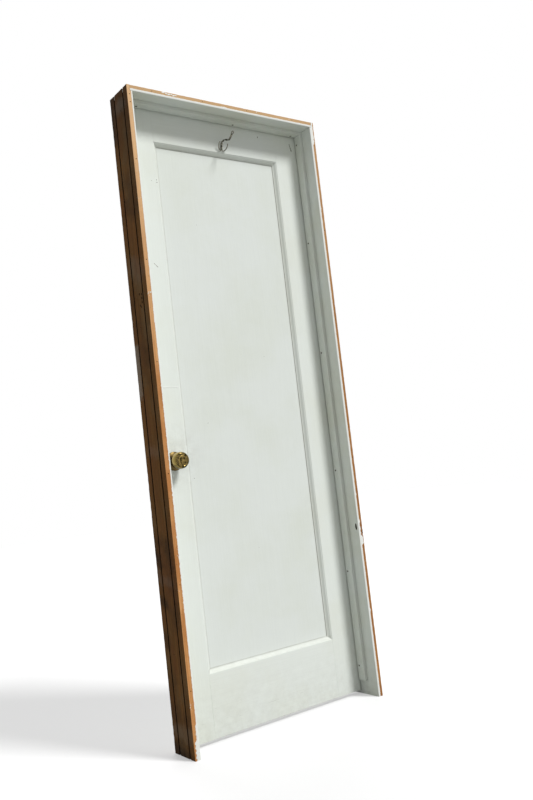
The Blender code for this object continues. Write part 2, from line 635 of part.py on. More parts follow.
def hook():
    """One wire bent double: its halves twist up the stem and the hat arm to a loop at the tip,
    and its ends spread at the foot of the stem into two coat prongs. A screw holds the stem."""
    r = HOOK_WIRE
    pair = r + FIT / 2
    stem = 2 * r + FIT                       # middle of the stem, out from the leaf
    tilt = Matrix.Rotation(math.radians(HOOK_TILT), 3, "Y")

    def at(side, out, up):
        askew = tilt @ Vector((side, 0.0, up))
        return Vector((hook_x + askew.x, LEAF_FRONT - out, hook_z + askew.z))

    # Middle line of the pair, in radii of the wire: out from the stem and up from the screw
    bends = [(0, -6.5), (0, -3), (0, 0.5), (0, 4), (0.1, 7.2), (1.3, 10.2), (5, 11.6), (11, 11.2),
             (17.5, 9.0), (24, 5.8), (28.6, 4.6), (32.2, 6.0), (35.6, 9.0), (39.0, 12.4)]
    middle = route([Vector((0.0, stem + r * out, r * up)) for out, up in bends])
    halves = ([], [])
    length = len(middle) - 1
    for i, point in enumerate(middle):
        ahead = middle[min(i + 1, length)]
        behind = middle[max(i - 1, 0)]
        along = (ahead - behind).normalized()
        share = min(i / (0.72 * length), 1.0)
        spin = Matrix.Rotation(2 * math.pi * HOOK_TWISTS * share, 3, along)
        side = spin @ Vector((1.0, 0.0, 0.0))
        for half, sign in zip(halves, (1, -1)):
            half.append(point + side * pair * sign)
    end = middle[-1]
    along = (middle[-1] - middle[-3]).normalized()
    sign = 1 if (halves[0][-1] - end).x > 0 else -1
    loop = [end + along * r * d + Vector((sign * r * w, 0.0, 0.0))
            for w, d in ((1.6, 1.8), (2.2, 3.6), (1.9, 5.4), (0, 6.6), (-1.9, 5.4), (-2.2, 3.6), (-1.6, 1.8))]
    prong = [(9.1, 8.6, 6.4), (10.3, 6.6, 3.2), (10.2, 4.6, -0.4), (8.6, 2.6, -4.2), (5.8, 1.0, -7.2),
             (3.1, 0.2, -8.6), (1.4, 0, -8.0)]
    ends = []
    for sign in (1, -1):
        ends.append([Vector((sign * r * side, stem + r * out, r * up)) for side, out, up in prong])
    line = route(ends[0], 4)[:-1] + halves[0] + route([halves[0][-1]] + loop + [halves[1][-1]], 3)[1:-1]
    line += list(reversed(halves[1])) + list(reversed(route(ends[1], 4)[:-1]))
    strand = wire([at(v.x, v.y, v.z) for v in line], r)
    screw = turned([(0, 0), (r, 0), (r, HOOK_SCREW + stem), (0, HOOK_SCREW + stem)],
                   at(0, stem, 0), (0, 1, 0), 10)
    return combine(strand, screw, "UNION")


piece("coat_hook", hook(), "wire", (hook_x, LEAF_FRONT, hook_z), leaf_axis, True)
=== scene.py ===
import math

import bmesh
import bpy
from mathutils import Matrix, Quaternion, Vector, noise


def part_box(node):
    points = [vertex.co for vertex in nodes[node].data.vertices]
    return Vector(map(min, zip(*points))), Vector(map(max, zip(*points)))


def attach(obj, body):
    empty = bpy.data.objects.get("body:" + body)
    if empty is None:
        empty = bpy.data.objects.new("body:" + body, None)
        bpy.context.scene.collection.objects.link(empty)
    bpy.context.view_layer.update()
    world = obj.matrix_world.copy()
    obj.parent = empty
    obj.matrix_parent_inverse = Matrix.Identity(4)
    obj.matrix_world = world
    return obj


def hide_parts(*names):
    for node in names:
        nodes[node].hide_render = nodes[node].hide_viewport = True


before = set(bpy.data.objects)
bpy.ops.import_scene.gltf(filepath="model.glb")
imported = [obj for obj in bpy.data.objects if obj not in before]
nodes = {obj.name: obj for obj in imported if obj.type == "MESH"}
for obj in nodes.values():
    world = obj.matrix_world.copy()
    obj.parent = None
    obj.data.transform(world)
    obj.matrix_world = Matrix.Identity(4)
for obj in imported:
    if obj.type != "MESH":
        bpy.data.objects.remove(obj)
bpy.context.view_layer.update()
noise.seed_set(7)              # noise_vector draws its offsets by this, so each run is the same

# Camera: at the photo's place, low in front of the latch side, and held a little askew as it was.
# It was worked out from the corners of the frame and of the panel.
camera = bpy.data.objects.new("camera", bpy.data.cameras.new("camera"))
camera.data.sensor_width = 36.0
camera.data.lens = 36.5008
camera.matrix_world = Matrix.LocRotScale(Vector((-1.94033, -2.22004, 0.81773)),
                                         Quaternion((0.6290641, 0.7119134, -0.1903450, -0.2474397)), None)
bpy.context.collection.objects.link(camera)
bpy.context.scene.camera = camera


# Leaf: two stiles and two rails of pine, planed, glued at coped joints and painted by hand
# with an oil gloss that has gone dull. The brush ran along each member, hands have
# soiled the paint round the knob and shoes have marked the bottom rail.
def linear(code):
    """sRGB hex colour as linear red, green, blue and alpha."""
    parts = [int(code[i:i + 2], 16) / 255 for i in (1, 3, 5)]
    return [c / 12.92 if c <= 0.04045 else ((c + 0.055) / 1.055) ** 2.4 for c in parts] + [1.0]


def feed(tree, socket, value):
    """Sets a socket, or links it where the value is another node's output."""
    if isinstance(value, bpy.types.NodeSocket):
        tree.links.new(value, socket)
    else:
        socket.default_value = value


def add(tree, kind, inputs, **settings):
    """Adds one shader node with its settings; each input is a value or another node's output.
    Gives back the output that carries its result."""
    node = tree.nodes.new("ShaderNode" + kind)
    for key, value in settings.items():
        setattr(node, key, value)
    for key, value in inputs.items():
        feed(tree, node.inputs[key], value)
    if kind == "Mix":
        return node.outputs[2]
    if kind == "VectorMath" and node.operation in ("DISTANCE", "DOT_PRODUCT", "LENGTH"):
        return node.outputs["Value"]
    return node.outputs[0]


def between(tree, value, low, high, start=0.0, end=1.0):
    """Carries a value from low..high to start..end and holds it there outside."""
    span = {"From Min": low, "From Max": high, "To Min": start, "To Max": end}
    return add(tree, "MapRange", {"Value": value, **span})


def blend(tree, share, first, second):
    """From the first colour to the second by share; a colour is sRGB hex or a node's output."""
    first, second = [linear(c) if isinstance(c, str) else c for c in (first, second)]
    return add(tree, "Mix", {0: share, 6: first, 7: second}, data_type="RGBA")


def mottle(tree, place, scale, detail, rough=0.5):
    """Cloudy noise, with scale spots to the metre."""
    return add(tree, "TexNoise", {"Vector": place, "Scale": scale, "Detail": detail, "Roughness": rough})


def calc(tree, operation, *values):
    """Arithmetic on values or outputs."""
    return add(tree, "Math", dict(enumerate(values)), operation=operation)


def vector(tree, operation, *values):
    """Arithmetic on places and directions."""
    return add(tree, "VectorMath", dict(enumerate(values)), operation=operation)


def blank(name, specular=0.5):
    """A new material: itself, its tree, its shader and the place on the object in metres."""
    made = bpy.data.materials.new(name)
    made.use_nodes = True
    shader = made.node_tree.nodes["Principled BSDF"]
    shader.inputs["Specular IOR Level"].default_value = specular
    return made, made.node_tree, shader, add(made.node_tree, "TexCoord", {}).node.outputs["Object"]


def dress(tree, shader, tint, rough, *bumps, metal=0.0):
    """Gives the shader its colour, roughness and metal, and lays the bumps over each other: each is
    (height, strength, depth in metres), a depth below 0 for what is sunk."""
    skin = {}
    for height, strength, depth in bumps:
        given = {"Height": height, "Strength": strength, "Distance": abs(depth)}
        skin = {"Normal": add(tree, "Bump", given | skin, invert=depth < 0)}
    for name, value in {"Base Color": tint, "Roughness": rough, "Metallic": metal, **skin}.items():
        feed(tree, shader.inputs[name], value)


def apart(tree, place, start, end):
    """Distance from a line on the object, between two points."""
    start, end = Vector(start), Vector(end)
    along = end - start
    off = vector(tree, "SUBTRACT", place, start)
    if along.length < 1e-6:
        return vector(tree, "LENGTH", off)
    share = vector(tree, "DOT_PRODUCT", off, along / along.length_squared)
    foot = add(tree, "VectorMath", {0: along, "Scale": between(tree, share, 0.0, 1.0)}, operation="SCALE")
    return vector(tree, "DISTANCE", off, foot)


def corner_gap(tree, parts, first, second):
    """Distance from corners that run straight: each is (axis, middle, half the width across)."""
    gaps = []
    for axis, middle, half in (first, second):
        off = calc(tree, "ABSOLUTE", calc(tree, "SUBTRACT", parts[axis], middle))
        gaps.append(calc(tree, "ABSOLUTE", calc(tree, "SUBTRACT", off, half)))
    return calc(tree, "MAXIMUM", *gaps)


leaf_low, leaf_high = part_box("stile_latch_side")[0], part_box("stile_hinge_side")[1]
leaf_middle = (leaf_low + leaf_high) / 2
leaf_half = (leaf_high - leaf_low) / 2
knob_low, knob_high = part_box("knob_front")
knob_axis = (knob_low + knob_high) / 2
panel_low = Vector((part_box("stile_latch_side")[1].x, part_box("panel")[0].y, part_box("rail_bottom")[1].z))
panel_high = Vector((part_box("stile_hinge_side")[0].x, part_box("panel")[1].y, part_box("rail_top")[0].z))
panel_middle, panel_half = (panel_low + panel_high) / 2, (panel_high - panel_low) / 2


def painted_wood(name, along, colours, corners, reach, marks=(), rim=None):
    """Oil paint brushed on planed pine: ridges 3 mm apart along the brush, soft sags, dust nibs in
    the film, and bare wood within reach of a knocked corner. The colours are fresh paint, aged paint
    and wood; a mark is (start, end, width, colour, depth); a front edge at rim is painted lighter, as painted
    sunlight."""
    fresh, aged, wood = colours
    made, tree, shader, place = blank(name, 0.28)
    parts = dict(zip("XYZ", add(tree, "SeparateXYZ", {0: place}).node.outputs))
    y, z = parts["Y"], parts["Z"]
    ridges = {"X": (9, 330, 330), "Z": (330, 330, 9)}[along]
    brush = mottle(tree, vector(tree, "MULTIPLY", place, ridges), 1.0, 3.0, 0.6)
    cloud = mottle(tree, place, 3.5, 5.0, 0.6)
    patch = mottle(tree, place, 38.0, 6.0, 0.65)
    sag = mottle(tree, place, 28.0, 2.0)
    nib = between(tree, add(tree, "TexVoronoi", {"Vector": place, "Scale": 120.0}), 0.0, 0.09, 1.0, 0.0)
    tint = blend(tree, between(tree, cloud, 0.42, 0.70), fresh, aged)
    shade = between(tree, brush, 0.3, 0.75, 0.975, 1.01)
    tint = add(tree, "VectorMath", {0: tint, "Scale": shade}, operation="SCALE")

    # Painted sunlight: the paint on the front edge, at rim, is coloured lighter
    if rim is not None:
        clean = between(tree, y, rim + 0.0004, rim + 0.0013, 0.9, 0.0)
        tint = blend(tree, clean, tint, "#f4f6f1")

    # Hands have soiled the paint round the knob, and dust and shoes the lowest part
    flat = vector(tree, "MULTIPLY", place, (1.0, 0.0, 1.0))
    hands = vector(tree, "DISTANCE", flat, (knob_axis.x + 0.006, 0.0, knob_axis.z + 0.015))
    shoes = between(tree, z, 0.0, 0.22, 0.17, 0.0)
    soil = calc(tree, "MAXIMUM", between(tree, hands, 0.035, 0.13, 0.20, 0.0), shoes)
    soil = calc(tree, "MULTIPLY", soil, between(tree, patch, 0.36, 0.66))
    tint = blend(tree, soil, tint, "#94907f")
    scuff = mottle(tree, vector(tree, "MULTIPLY", place, (14.0, 14.0, 380.0)), 1.0, 4.0, 0.65)
    kicked = between(tree, z, 0.04, 0.22, 0.5, 0.0)
    scuff = calc(tree, "MULTIPLY", between(tree, scuff, 0.68, 0.75), kicked)
    tint = blend(tree, scuff, tint, "#77746a")

    # Dust and painted shade darken the corner between the panel and its moulding, and the ledge under it
    faces = ("Y", panel_middle.y, panel_half.y)
    sides = corner_gap(tree, parts, ("X", panel_middle.x, panel_half.x), faces)
    ends = corner_gap(tree, parts, ("Z", panel_middle.z, panel_half.z), faces)
    dust = between(tree, calc(tree, "MINIMUM", sides, ends), 0.0002, 0.0042, 0.55, 0.0)
    front = between(tree, y, leaf_low.y + 0.0005, leaf_low.y + 0.0025, 0.0, 0.27)
    back = between(tree, y, leaf_high.y - 0.0025, leaf_high.y - 0.0005, 0.27, 0.0)
    over = between(tree, z, panel_low.z - 0.020, panel_low.z - 0.017)
    under = between(tree, z, panel_low.z, panel_low.z + 0.003, 1.0, 0.0)
    low = calc(tree, "MINIMUM", over, under)
    ledge_dust_and_shade = calc(tree, "MULTIPLY", calc(tree, "MINIMUM", front, back), low)
    dust = calc(tree, "MAXIMUM", ledge_dust_and_shade, dust)
    dust = calc(tree, "MULTIPLY", dust, between(tree, patch, 0.3, 0.6, 0.6, 1.0))
    tint = blend(tree, dust, tint, "#9a988b")

    # Knocked corners show the wood
    worn = 0.0
    for first, second in corners:
        near = between(tree, corner_gap(tree, parts, first, second), 0.0, reach, 1.0, 0.0)
        worn = calc(tree, "MAXIMUM", worn, near)
    chip = mottle(tree, place, 75.0, 4.0, 0.7)
    worn = between(tree, calc(tree, "MULTIPLY", worn, chip), 0.575, 0.595)
    tint = blend(tree, worn, tint, wood)

    height = worn
    for start, end, width, colour, depth in marks:
        wander = between(tree, patch, 0.3, 0.7, -width, width)
        wavy = calc(tree, "ADD", apart(tree, place, start, end), wander)
        mark = between(tree, wavy, width * 0.6, width * 1.3, 1.0, 0.0)
        tint = blend(tree, mark, tint, colour)
        height = calc(tree, "MULTIPLY_ADD", mark, depth, height)

    uneven = between(tree, cloud, 0.3, 0.7, -0.05, 0.07)
    gloss = calc(tree, "ADD", between(tree, brush, 0.25, 0.8, 0.38, 0.54), uneven)
    gloss = calc(tree, "MULTIPLY_ADD", soil, 0.25, gloss)
    dress(tree, shader, tint, gloss,
          (sag, 0.5, 0.0006), (brush, 0.5, 0.00016), (nib, 0.5, 0.0001), (height, 1.0, -0.0004))
    return made


def marks_on(y, rows):
    """Marks on a face of the leaf: each row is (x, z, x, z, width, colour, depth), from end to end."""
    return [((x0, y, z0), (x1, y, z1), *looks) for x0, z0, x1, z1, *looks in rows]


leaf_faces = ("Y", leaf_middle.y, leaf_half.y)
leaf_corners = [(("X", leaf_middle.x, leaf_half.x), leaf_faces),
                (("Z", leaf_middle.z, leaf_half.z), leaf_faces)]
stile_marks = marks_on(leaf_low.y, [(-0.667, 1.519, -0.655, 1.508, 0.0009, "#8d8b80", 0.6),
                                    (-0.680, 1.1158, -0.6272, 1.1145, 0.0013, "#eef1ec", -1.2),
                                    (-0.0446, 2.0117, -0.0386, 1.987, 0.0016, "#7e7b6d", 0.7),
                                    (-0.6264, 1.8031, -0.6264, 1.8022, 0.0009, "#5d584a", 0.8),
                                    (-0.6263, 1.7943, -0.6255, 1.7940, 0.0010, "#5d584a", 0.8),
                                    (-0.6451, 1.7984, -0.6451, 1.7980, 0.0008, "#6b6658", 0.8)])
# Two raised dabs of paint on the hinge side's moulding, coloured lighter as a painted highlight
stile_marks += [((-0.1500, 0.031, 0.8960), (-0.1490, 0.032, 0.8915), 0.0013, "#f3f5ef", -0.8),
                ((-0.1365, 0.031, 0.8705), (-0.1350, 0.032, 0.8670), 0.0014, "#f3f5ef", -0.8)]
specks = ((-0.4828, 1.6674), (-0.5208, 0.9941), (-0.5943, 0.8192), (-0.262, 1.214), (-0.373, 0.566))
panel_marks = marks_on(panel_low.y, [(x, up, x, up, 0.0009, "#767265", 0.6) for x, up in specks])
# A nail hole in the top rail, drawn as a dark spot over a sunk bump: its darkness is painted shade
rail_hole_painted_shade = marks_on(leaf_low.y, [(-0.1885, 2.017, -0.1885, 2.017, 0.0016, "#2c241b", 3.0)])
leaf_coat = ("#ebf0ea", "#e7ebe1", "#b48a5c")   # fresh paint, aged paint, the pine under it


def clad(coat, *names):
    """Gives CAD nodes their material, through their slots."""
    for name in names:
        nodes[name].material_slots[0].material = coat


stile_paint = painted_wood("oil paint on pine stile", "Z", leaf_coat, leaf_corners, 0.003, stile_marks)
rail_paint = painted_wood("oil paint on pine rail", "X", leaf_coat, leaf_corners, 0.003, rail_hole_painted_shade)
clad(stile_paint, "stile_latch_side", "stile_hinge_side")
clad(rail_paint, "rail_top", "rail_bottom")

# Panel: one thin flat board of pine that sits loose in the grooves of stiles and rails. The brush
# ran up and down it, and a few pins have left dark specks.
panel_coat = ("#e6ebe6", "#e1e6dd", "#b48a5c")
panel_paint = painted_wood("oil paint on pine panel", "Z", panel_coat, [], 0.003, panel_marks)
clad(panel_paint, "panel")


# Frame boards: two jambs and a head of old pine, ploughed with two grooves in the back. The faces
# to the doorway are painted, the backs were never finished and have gone brown, and the casings
# are gone from both edges, so bare wood shows there beside a ragged edge of old paint.
def pull(bm, faces, way):
    """Pulls faces out of a bmesh along a vector, with walls behind them."""
    pulled = bmesh.ops.extrude_face_region(bm, geom=faces)["geom"]
    bmesh.ops.translate(bm, vec=way, verts=[v for v in pulled if isinstance(v, bmesh.types.BMVert)])


def board(outline, start, end, step, stray):
    """A length of wood: its section is drawn once, pulled out to its length and cut across at every
    step. A point of the section is (in from the face, across, coat of the side after it), and
    stray(point, along) says how far it wanders from there."""
    bm = bmesh.new()
    pull(bm, [bm.faces.new([bm.verts.new((u, v, start)) for u, v, coat in outline])], (0.0, 0.0, end - start))
    long_edges = [e for e in bm.edges if abs(e.verts[0].co.z - e.verts[1].co.z) > (end - start) / 2]
    bmesh.ops.subdivide_edges(bm, edges=long_edges, cuts=round((end - start) / step) - 1, use_grid_fill=True)
    number = {(round(u, 6), round(v, 6)): i for i, (u, v, coat) in enumerate(outline)}
    where = {v: number[round(v.co.x, 6), round(v.co.y, 6)] for v in bm.verts}
    last = len(outline) - 1
    for side in bm.faces:
        touched = sorted({where[v] for v in side.verts})
        if len(touched) == 2:
            side.material_index = outline[last if touched == [0, last] else touched[0]][2]
        else:
            side.material_index = outline[-1][2]
    for v, i in where.items():
        du, dv = stray(i, v.co.z)
        v.co.x += du
        v.co.y += dv
    return bm


def settle(name, bm, coats, body, angle=40.0):
    """Bmesh to a finished piece that rides on its body, smooth except at its arrises."""
    bmesh.ops.recalc_face_normals(bm, faces=bm.faces)
    mesh = bpy.data.meshes.new(name)
    bm.to_mesh(mesh)
    bm.free()
    for coat in coats:
        mesh.materials.append(coat)
    mesh.shade_smooth()
    mesh.set_sharp_from_angle(angle=math.radians(angle))
    piece = bpy.data.objects.new(name, mesh)
    bpy.context.collection.objects.link(piece)
    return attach(piece, body)


def cut(piece, bm, coat):
    """Takes the bmesh's shape out of a piece; the fresh walls get the coat."""
    bmesh.ops.recalc_face_normals(bm, faces=bm.faces)
    tool = bpy.data.objects.new("cutter", bpy.data.meshes.new("cutter"))
    bm.to_mesh(tool.data)
    bm.free()
    tool.data.materials.append(coat)
    bpy.context.collection.objects.link(tool)
    change = piece.modifiers.new("cut", "BOOLEAN")
    change.operation = "DIFFERENCE"
    change.solver = "EXACT"
    change.material_mode = "TRANSFER"
    change.object = tool
    piece.data = bpy.data.meshes.new_from_object(piece.evaluated_get(bpy.context.evaluated_depsgraph_get()))
    piece.modifiers.clear()
    piece.data.name = piece.name
    piece.data.set_sharp_from_angle(angle=math.radians(40))
    bpy.data.objects.remove(tool)


def box_cutter(bm, low, high):
    """Adds a box between two corners to a bmesh of cutters."""
    low, high = Vector(low), Vector(high)
    bmesh.ops.create_cube(bm, size=1.0, matrix=Matrix.LocRotScale((low + high) / 2, None, high - low))


def nail_cutter(bm, spot, inward, radius=0.0014):
    """Adds the ragged cone that a pulled nail leaves, going inward from a spot on a face."""
    depth = 0.004
    turn = Vector((0.0, 0.0, -1.0)).rotation_difference(Vector(inward)).to_matrix().to_4x4()
    middle = Matrix.Translation(Vector(spot) + Vector(inward) * depth * 0.5)
    made = bmesh.ops.create_cone(bm, segments=9, radius1=radius * 0.55, radius2=radius * 1.25,
                                 depth=depth * 1.25, cap_ends=True, matrix=middle @ turn)
    for v in made["verts"]:
        v.co += noise.noise_vector(v.co * 900.0) * radius * 0.18


def dent_cutter(bm, spot, size, turn=0.0, rough=0.18):
    """Adds a rough lens to a bmesh of cutters: half sizes in metres, turned about Y in degrees."""
    turned = Matrix.Rotation(math.radians(turn), 3, "Y")
    lens = Matrix.LocRotScale(Vector(spot), turned, Vector(size))
    made = bmesh.ops.create_uvsphere(bm, u_segments=14, v_segments=9, radius=1.0, matrix=lens)
    for v in made["verts"]:
        v.co += noise.noise_vector(v.co * 500.0) * min(size) * rough


def round_corner(radius):
    """Quarter round in three steps, from (radius, 0) to (0, radius)."""
    turns = [math.pi / 6 * i for i in range(4)]
    return [(radius - radius * math.sin(a), radius - radius * math.cos(a)) for a in turns]


jamb_low, jamb_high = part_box("jamb_latch_side")
thick = jamb_high.x - jamb_low.x
front_y, back_y = jamb_low.y, jamb_high.y
latch_face, hinge_face = jamb_high.x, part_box("jamb_hinge_side")[0].x
head_under, head_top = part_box("head_jamb")[0].z, jamb_high.z
fit = 0.0003                   # clearance round what is let in or nailed on
film = 0.0004                  # old paint stands this proud of the bare wood
arris = 0.0015                 # rounding of the painted corners
worn_arris = 0.0007
plough_wide, plough_deep, plough_inset = 0.0065, 0.0055, 0.030
past = 0.02                    # a cutter runs this far past what it cuts
board_step = 0.004             # between the cuts across a board, fine enough for a ragged edge
PAINT, BARE, BACK, PLOUGH = 0, 1, 2, 3


def upright(face, way):
    """Stands a board against a face of the doorway, its thickness going along X by way."""
    return Matrix(((way, 0, 0, face), (0, 1, 0, 0), (0, 0, 1, 0), (0, 0, 0, 1)))


def level(face, way):
    """Lays a board along X against a level face, its thickness going along Z by way."""
    return Matrix(((0, 0, 1, 0), (0, 1, 0, 0), (way, 0, 0, face), (0, 0, 0, 1)))


def jamb_section(reveal):
    """Section of a frame board; reveal is how far the paint comes out on its edges."""
    half = [(thick, film + worn_arris), (thick - worn_arris, film), (reveal + 0.0003, film), (reveal, 0.0)]
    half += round_corner(arris)
    coats = [BARE, BARE, PAINT, PAINT, PAINT, PAINT, PAINT, PAINT]
    section = [(u, front_y + v, coat) for (u, v), coat in zip(half, coats)]
    coats = [PAINT] * 5 + [BARE, BARE, BACK]
    section += [(u, back_y - v, coat) for (u, v), coat in zip(reversed(half), coats)]
    floor = thick - plough_deep
    for middle in (back_y - plough_inset, front_y + plough_inset):
        for u, side, coat in ((thick, 0.5, PLOUGH), (floor, 0.5, PLOUGH),
                              (floor, -0.5, PLOUGH), (thick, -0.5, BACK)):
            section.append((u, middle + side * plough_wide, coat))
    return section


def edge_stray(seed, torn):
    """Wander of a frame board: the paint's edge is ragged, and reaches further out at the places
    in torn (from, to, how far, how rough); the arrises at the back are knocked and uneven."""
    def stray(i, along):
        if i in (2, 3, 12, 13):
            n = noise.noise(Vector((along * 60.0, seed, float(i > 9)))) * 0.0008
            n += noise.noise(Vector((along * 190.0, seed, 5.0 + (i > 9)))) * 0.0006
            for start, end, out, rough in torn if i < 9 else ():
                share = max(0.0, min(1.0, (along - start) / 0.006, (end - along) / 0.006))
                n += share * (out + rough * noise.noise(Vector((along * 150.0, seed, 9.0))))
            return n, 0.0
        if i in (0, 1, 14, 15):
            chew = abs(noise.noise(Vector((along * 35.0, seed, 20.0 + i // 2)))) * 0.0007
            return -chew, chew if i < 9 else -chew
        if i > 15:
            return -abs(noise.noise(Vector((along * 22.0, seed, float(i))))) * 0.0004, 0.0
        return 0.0, 0.0
    return stray


def frame_board(name, reveal, start, end, stray, place, coats):
    """A jamb or the head, from one sawn end to the other, before its holes are cut."""
    shape = board(jamb_section(reveal), start, end, board_step, stray)
    bmesh.ops.transform(shape, matrix=place, verts=shape.verts)
    return settle(name, shape, coats + [plough_dirt_and_shade], "frame")


def old_back(name, along, out=0.0, patches=()):
    """Sawn pine, never painted, browned by long years in a wall: streaks 1.5 mm wide along the
    grain, redder and greyer stretches a hand long, faint bands from the saw every 10 mm, and ragged
    patches: soot, rubbed grey fibres, and a grey painted sheen. A patch lies on the face at out on X,
    from one place to another: (y, z, y, z, half its width, strength, colour)."""
    made, tree, shader, place = blank(name, 0.12)
    run = {"X": (5, 620, 620), "Z": (620, 620, 5)}[along]
    wave = mottle(tree, place, 6.0, 2.0).node.outputs["Color"]
    wave = add(tree, "VectorMath", {0: wave, "Scale": 0.012}, operation="SCALE")
    bent = vector(tree, "ADD", wave, place)
    grain = mottle(tree, vector(tree, "MULTIPLY", bent, run), 1.0, 5.0, 0.65)
    wide_run = [s / 6 if s > 50 else s / 2 for s in run]
    broad = mottle(tree, vector(tree, "MULTIPLY", bent, wide_run), 1.0, 3.0)
    stain = mottle(tree, place, 5.0, 6.0, 0.65)
    long_run = [1.2 if s < 50 else 3.0 for s in run]
    warm = mottle(tree, vector(tree, "MULTIPLY", place, long_run), 5.5, 5.0, 0.6)
    tint = blend(tree, between(tree, grain, 0.34, 0.66), "#50361b", "#7d582c")
    tint = blend(tree, between(tree, broad, 0.45, 0.75, 0.0, 0.6), tint, "#8d6434")
    tint = blend(tree, between(tree, warm, 0.50, 0.66, 0.0, 0.38), tint, "#78492a")
    tint = blend(tree, between(tree, warm, 0.36, 0.48, 0.42, 0.0), tint, "#766447")
    tint = blend(tree, between(tree, stain, 0.50, 0.68, 0.0, 0.65), tint, "#3d2a18")
    torn = mottle(tree, place, 34.0, 8.0, 0.8).node.outputs["Color"]
    torn = vector(tree, "SUBTRACT", torn, (0.5, 0.5, 0.5))
    torn = vector(tree, "MULTIPLY_ADD", torn, (0.06, 0.06, 0.06), place)
    for y0, z0, y1, z1, width, strength, colour in patches:
        off = apart(tree, torn, (out, y0, z0), (out, y1, z1))
        patch = between(tree, off, width * 0.45, width * 1.15, strength, 0.0)
        patch = calc(tree, "MULTIPLY", patch, between(tree, grain, 0.36, 0.58, 0.55, 1.0))
        tint = blend(tree, patch, tint, colour)
    teeth = {"Scale": 32.0, "Distortion": 3.0, "Detail": 2.0, "Detail Scale": 8.0}
    saw = add(tree, "TexWave", {"Vector": place, **teeth}, wave_type="BANDS", bands_direction=along)
    rough = between(tree, grain, 0.2, 0.8, 0.72, 0.92)
    dress(tree, shader, tint, rough, (saw, 0.35, 0.0003), (grain, 0.8, 0.0005))
    return made


def bare_edge(name, along, light, dark, top):
    """Planed pine that a casing kept clean for long years: straight orange grain 2 mm apart, paler
    towards the top, with specks of dirt and crumbs of paint that stayed behind."""
    made, tree, shader, place = blank(name, 0.2)
    run = {"X": (6, 480, 480), "Z": (480, 480, 6)}[along]
    grain = mottle(tree, vector(tree, "MULTIPLY", place, run), 1.0, 4.0, 0.6)
    patch = mottle(tree, place, 9.0, 4.0, 0.6)
    up = add(tree, "SeparateXYZ", {0: place}).node.outputs["Z"]
    tint = blend(tree, between(tree, grain, 0.35, 0.7), light, dark)
    tint = blend(tree, between(tree, patch, 0.44, 0.64, 0.0, 0.62), tint, dark)
    tint = blend(tree, between(tree, up, 1.05, 2.05, 0.0, 0.66), tint, top)
    dirt = mottle(tree, place, 210.0, 3.0, 0.6)
    tint = blend(tree, between(tree, dirt, 0.64, 0.74, 0.0, 0.55), tint, "#6a4526")
    crumb = mottle(tree, place, 160.0, 3.0, 0.6)
    where = mottle(tree, place, 14.0, 1.0)
    crumb = calc(tree, "MULTIPLY", between(tree, crumb, 0.60, 0.64), between(tree, where, 0.65, 0.70))
    tint = blend(tree, crumb, tint, "#dfddd2")
    rough = between(tree, grain, 0.2, 0.8, 0.60, 0.80)
    dress(tree, shader, tint, rough, (grain, 0.6, 0.0003), (crumb, 0.8, 0.0003))
    return made


# Torn fibres inside a hole: dark brown pine, its darkness painted shade in the hole
torn_wood_and_shade, tree, shader, place = blank("torn pine and painted shade inside a hole", 0.1)
fibre = mottle(tree, place, 700.0, 4.0)
tint = blend(tree, between(tree, fibre, 0.35, 0.65), "#20140b", "#46301b")
dress(tree, shader, tint, between(tree, fibre, 0.3, 0.7, 0.75, 0.95), (fibre, 0.8, 0.0004))

doorway = ("X", (latch_face + hinge_face) / 2, (hinge_face - latch_face) / 2)
edges = ("Y", 0.0, back_y)
frame_coat = ("#dfe4de", "#d8dacc", "#a87846")
# The jamb's and the head's paint is coloured lighter along their front edges, as painted sunlight
jamb_paint = painted_wood("oil paint on jamb, sunlit front edge painted", "Z", frame_coat, [(doorway, edges)], 0.0026, rim=front_y)
under_head = [(("Z", head_under, 0.0), edges)]
head_paint = painted_wood("oil paint on head, sunlit front edge painted", "X", frame_coat, under_head, 0.0026, rim=front_y)
latch_edge = bare_edge("bare pine edge of latch jamb", "Z", "#dfa76c", "#b0713c", "#ecc99c")
hinge_edge = bare_edge("bare pine edge of hinge jamb", "Z", "#b8844d", "#8c592a", "#c99f70")
head_edge = bare_edge("bare pine edge of head", "X", "#c9a273", "#a2764a", "#d6b184")
soot, fibres, rubbed = "#1c130b", "#9a8e80", "#8f7b69"
latch_out, hinge_out = jamb_low.x, hinge_face + thick
# The grey patches across the middle near 2.02 m and 1.5 m are painted sheen; the others are soot, fibres,
# rubbing and stains
latch_back = old_back("old sawn pine of latch jamb", "Z", latch_out, [
    (0.0, 1.98, 0.0, 2.06, 0.150, 0.42, soot), (0.054, 1.93, 0.054, 2.07, 0.026, 0.75, soot),
    (0.012, 2.020, -0.020, 2.022, 0.026, 0.40, "#7d756a"), (0.048, 1.74, 0.048, 1.70, 0.022, 0.45, "#8f5a2c"),
    (0.015, 1.500, -0.020, 1.470, 0.040, 0.28, "#86786c"), (0.050, 1.240, 0.052, 1.100, 0.020, 0.80, fibres),
    (0.030, 0.920, -0.012, 0.910, 0.022, 0.28, rubbed), (0.052, 0.595, 0.034, 0.570, 0.020, 0.70, soot),
    (0.050, 0.540, 0.044, 0.515, 0.014, 0.36, rubbed), (0.014, 0.520, -0.020, 0.512, 0.018, 0.28, rubbed),
    (0.052, 0.460, 0.030, 0.452, 0.022, 0.70, soot), (0.046, 0.350, 0.038, 0.325, 0.020, 0.60, soot),
    (-0.020, 0.640, -0.034, 0.560, 0.018, 0.50, soot), (0.040, 0.072, -0.058, 0.066, 0.027, 0.55, "#83705a"),
    (0.062, 0.004, -0.010, -0.022, 0.050, 0.92, soot), (-0.062, 0.0, -0.062, 2.07, 0.005, 0.60, soot)])
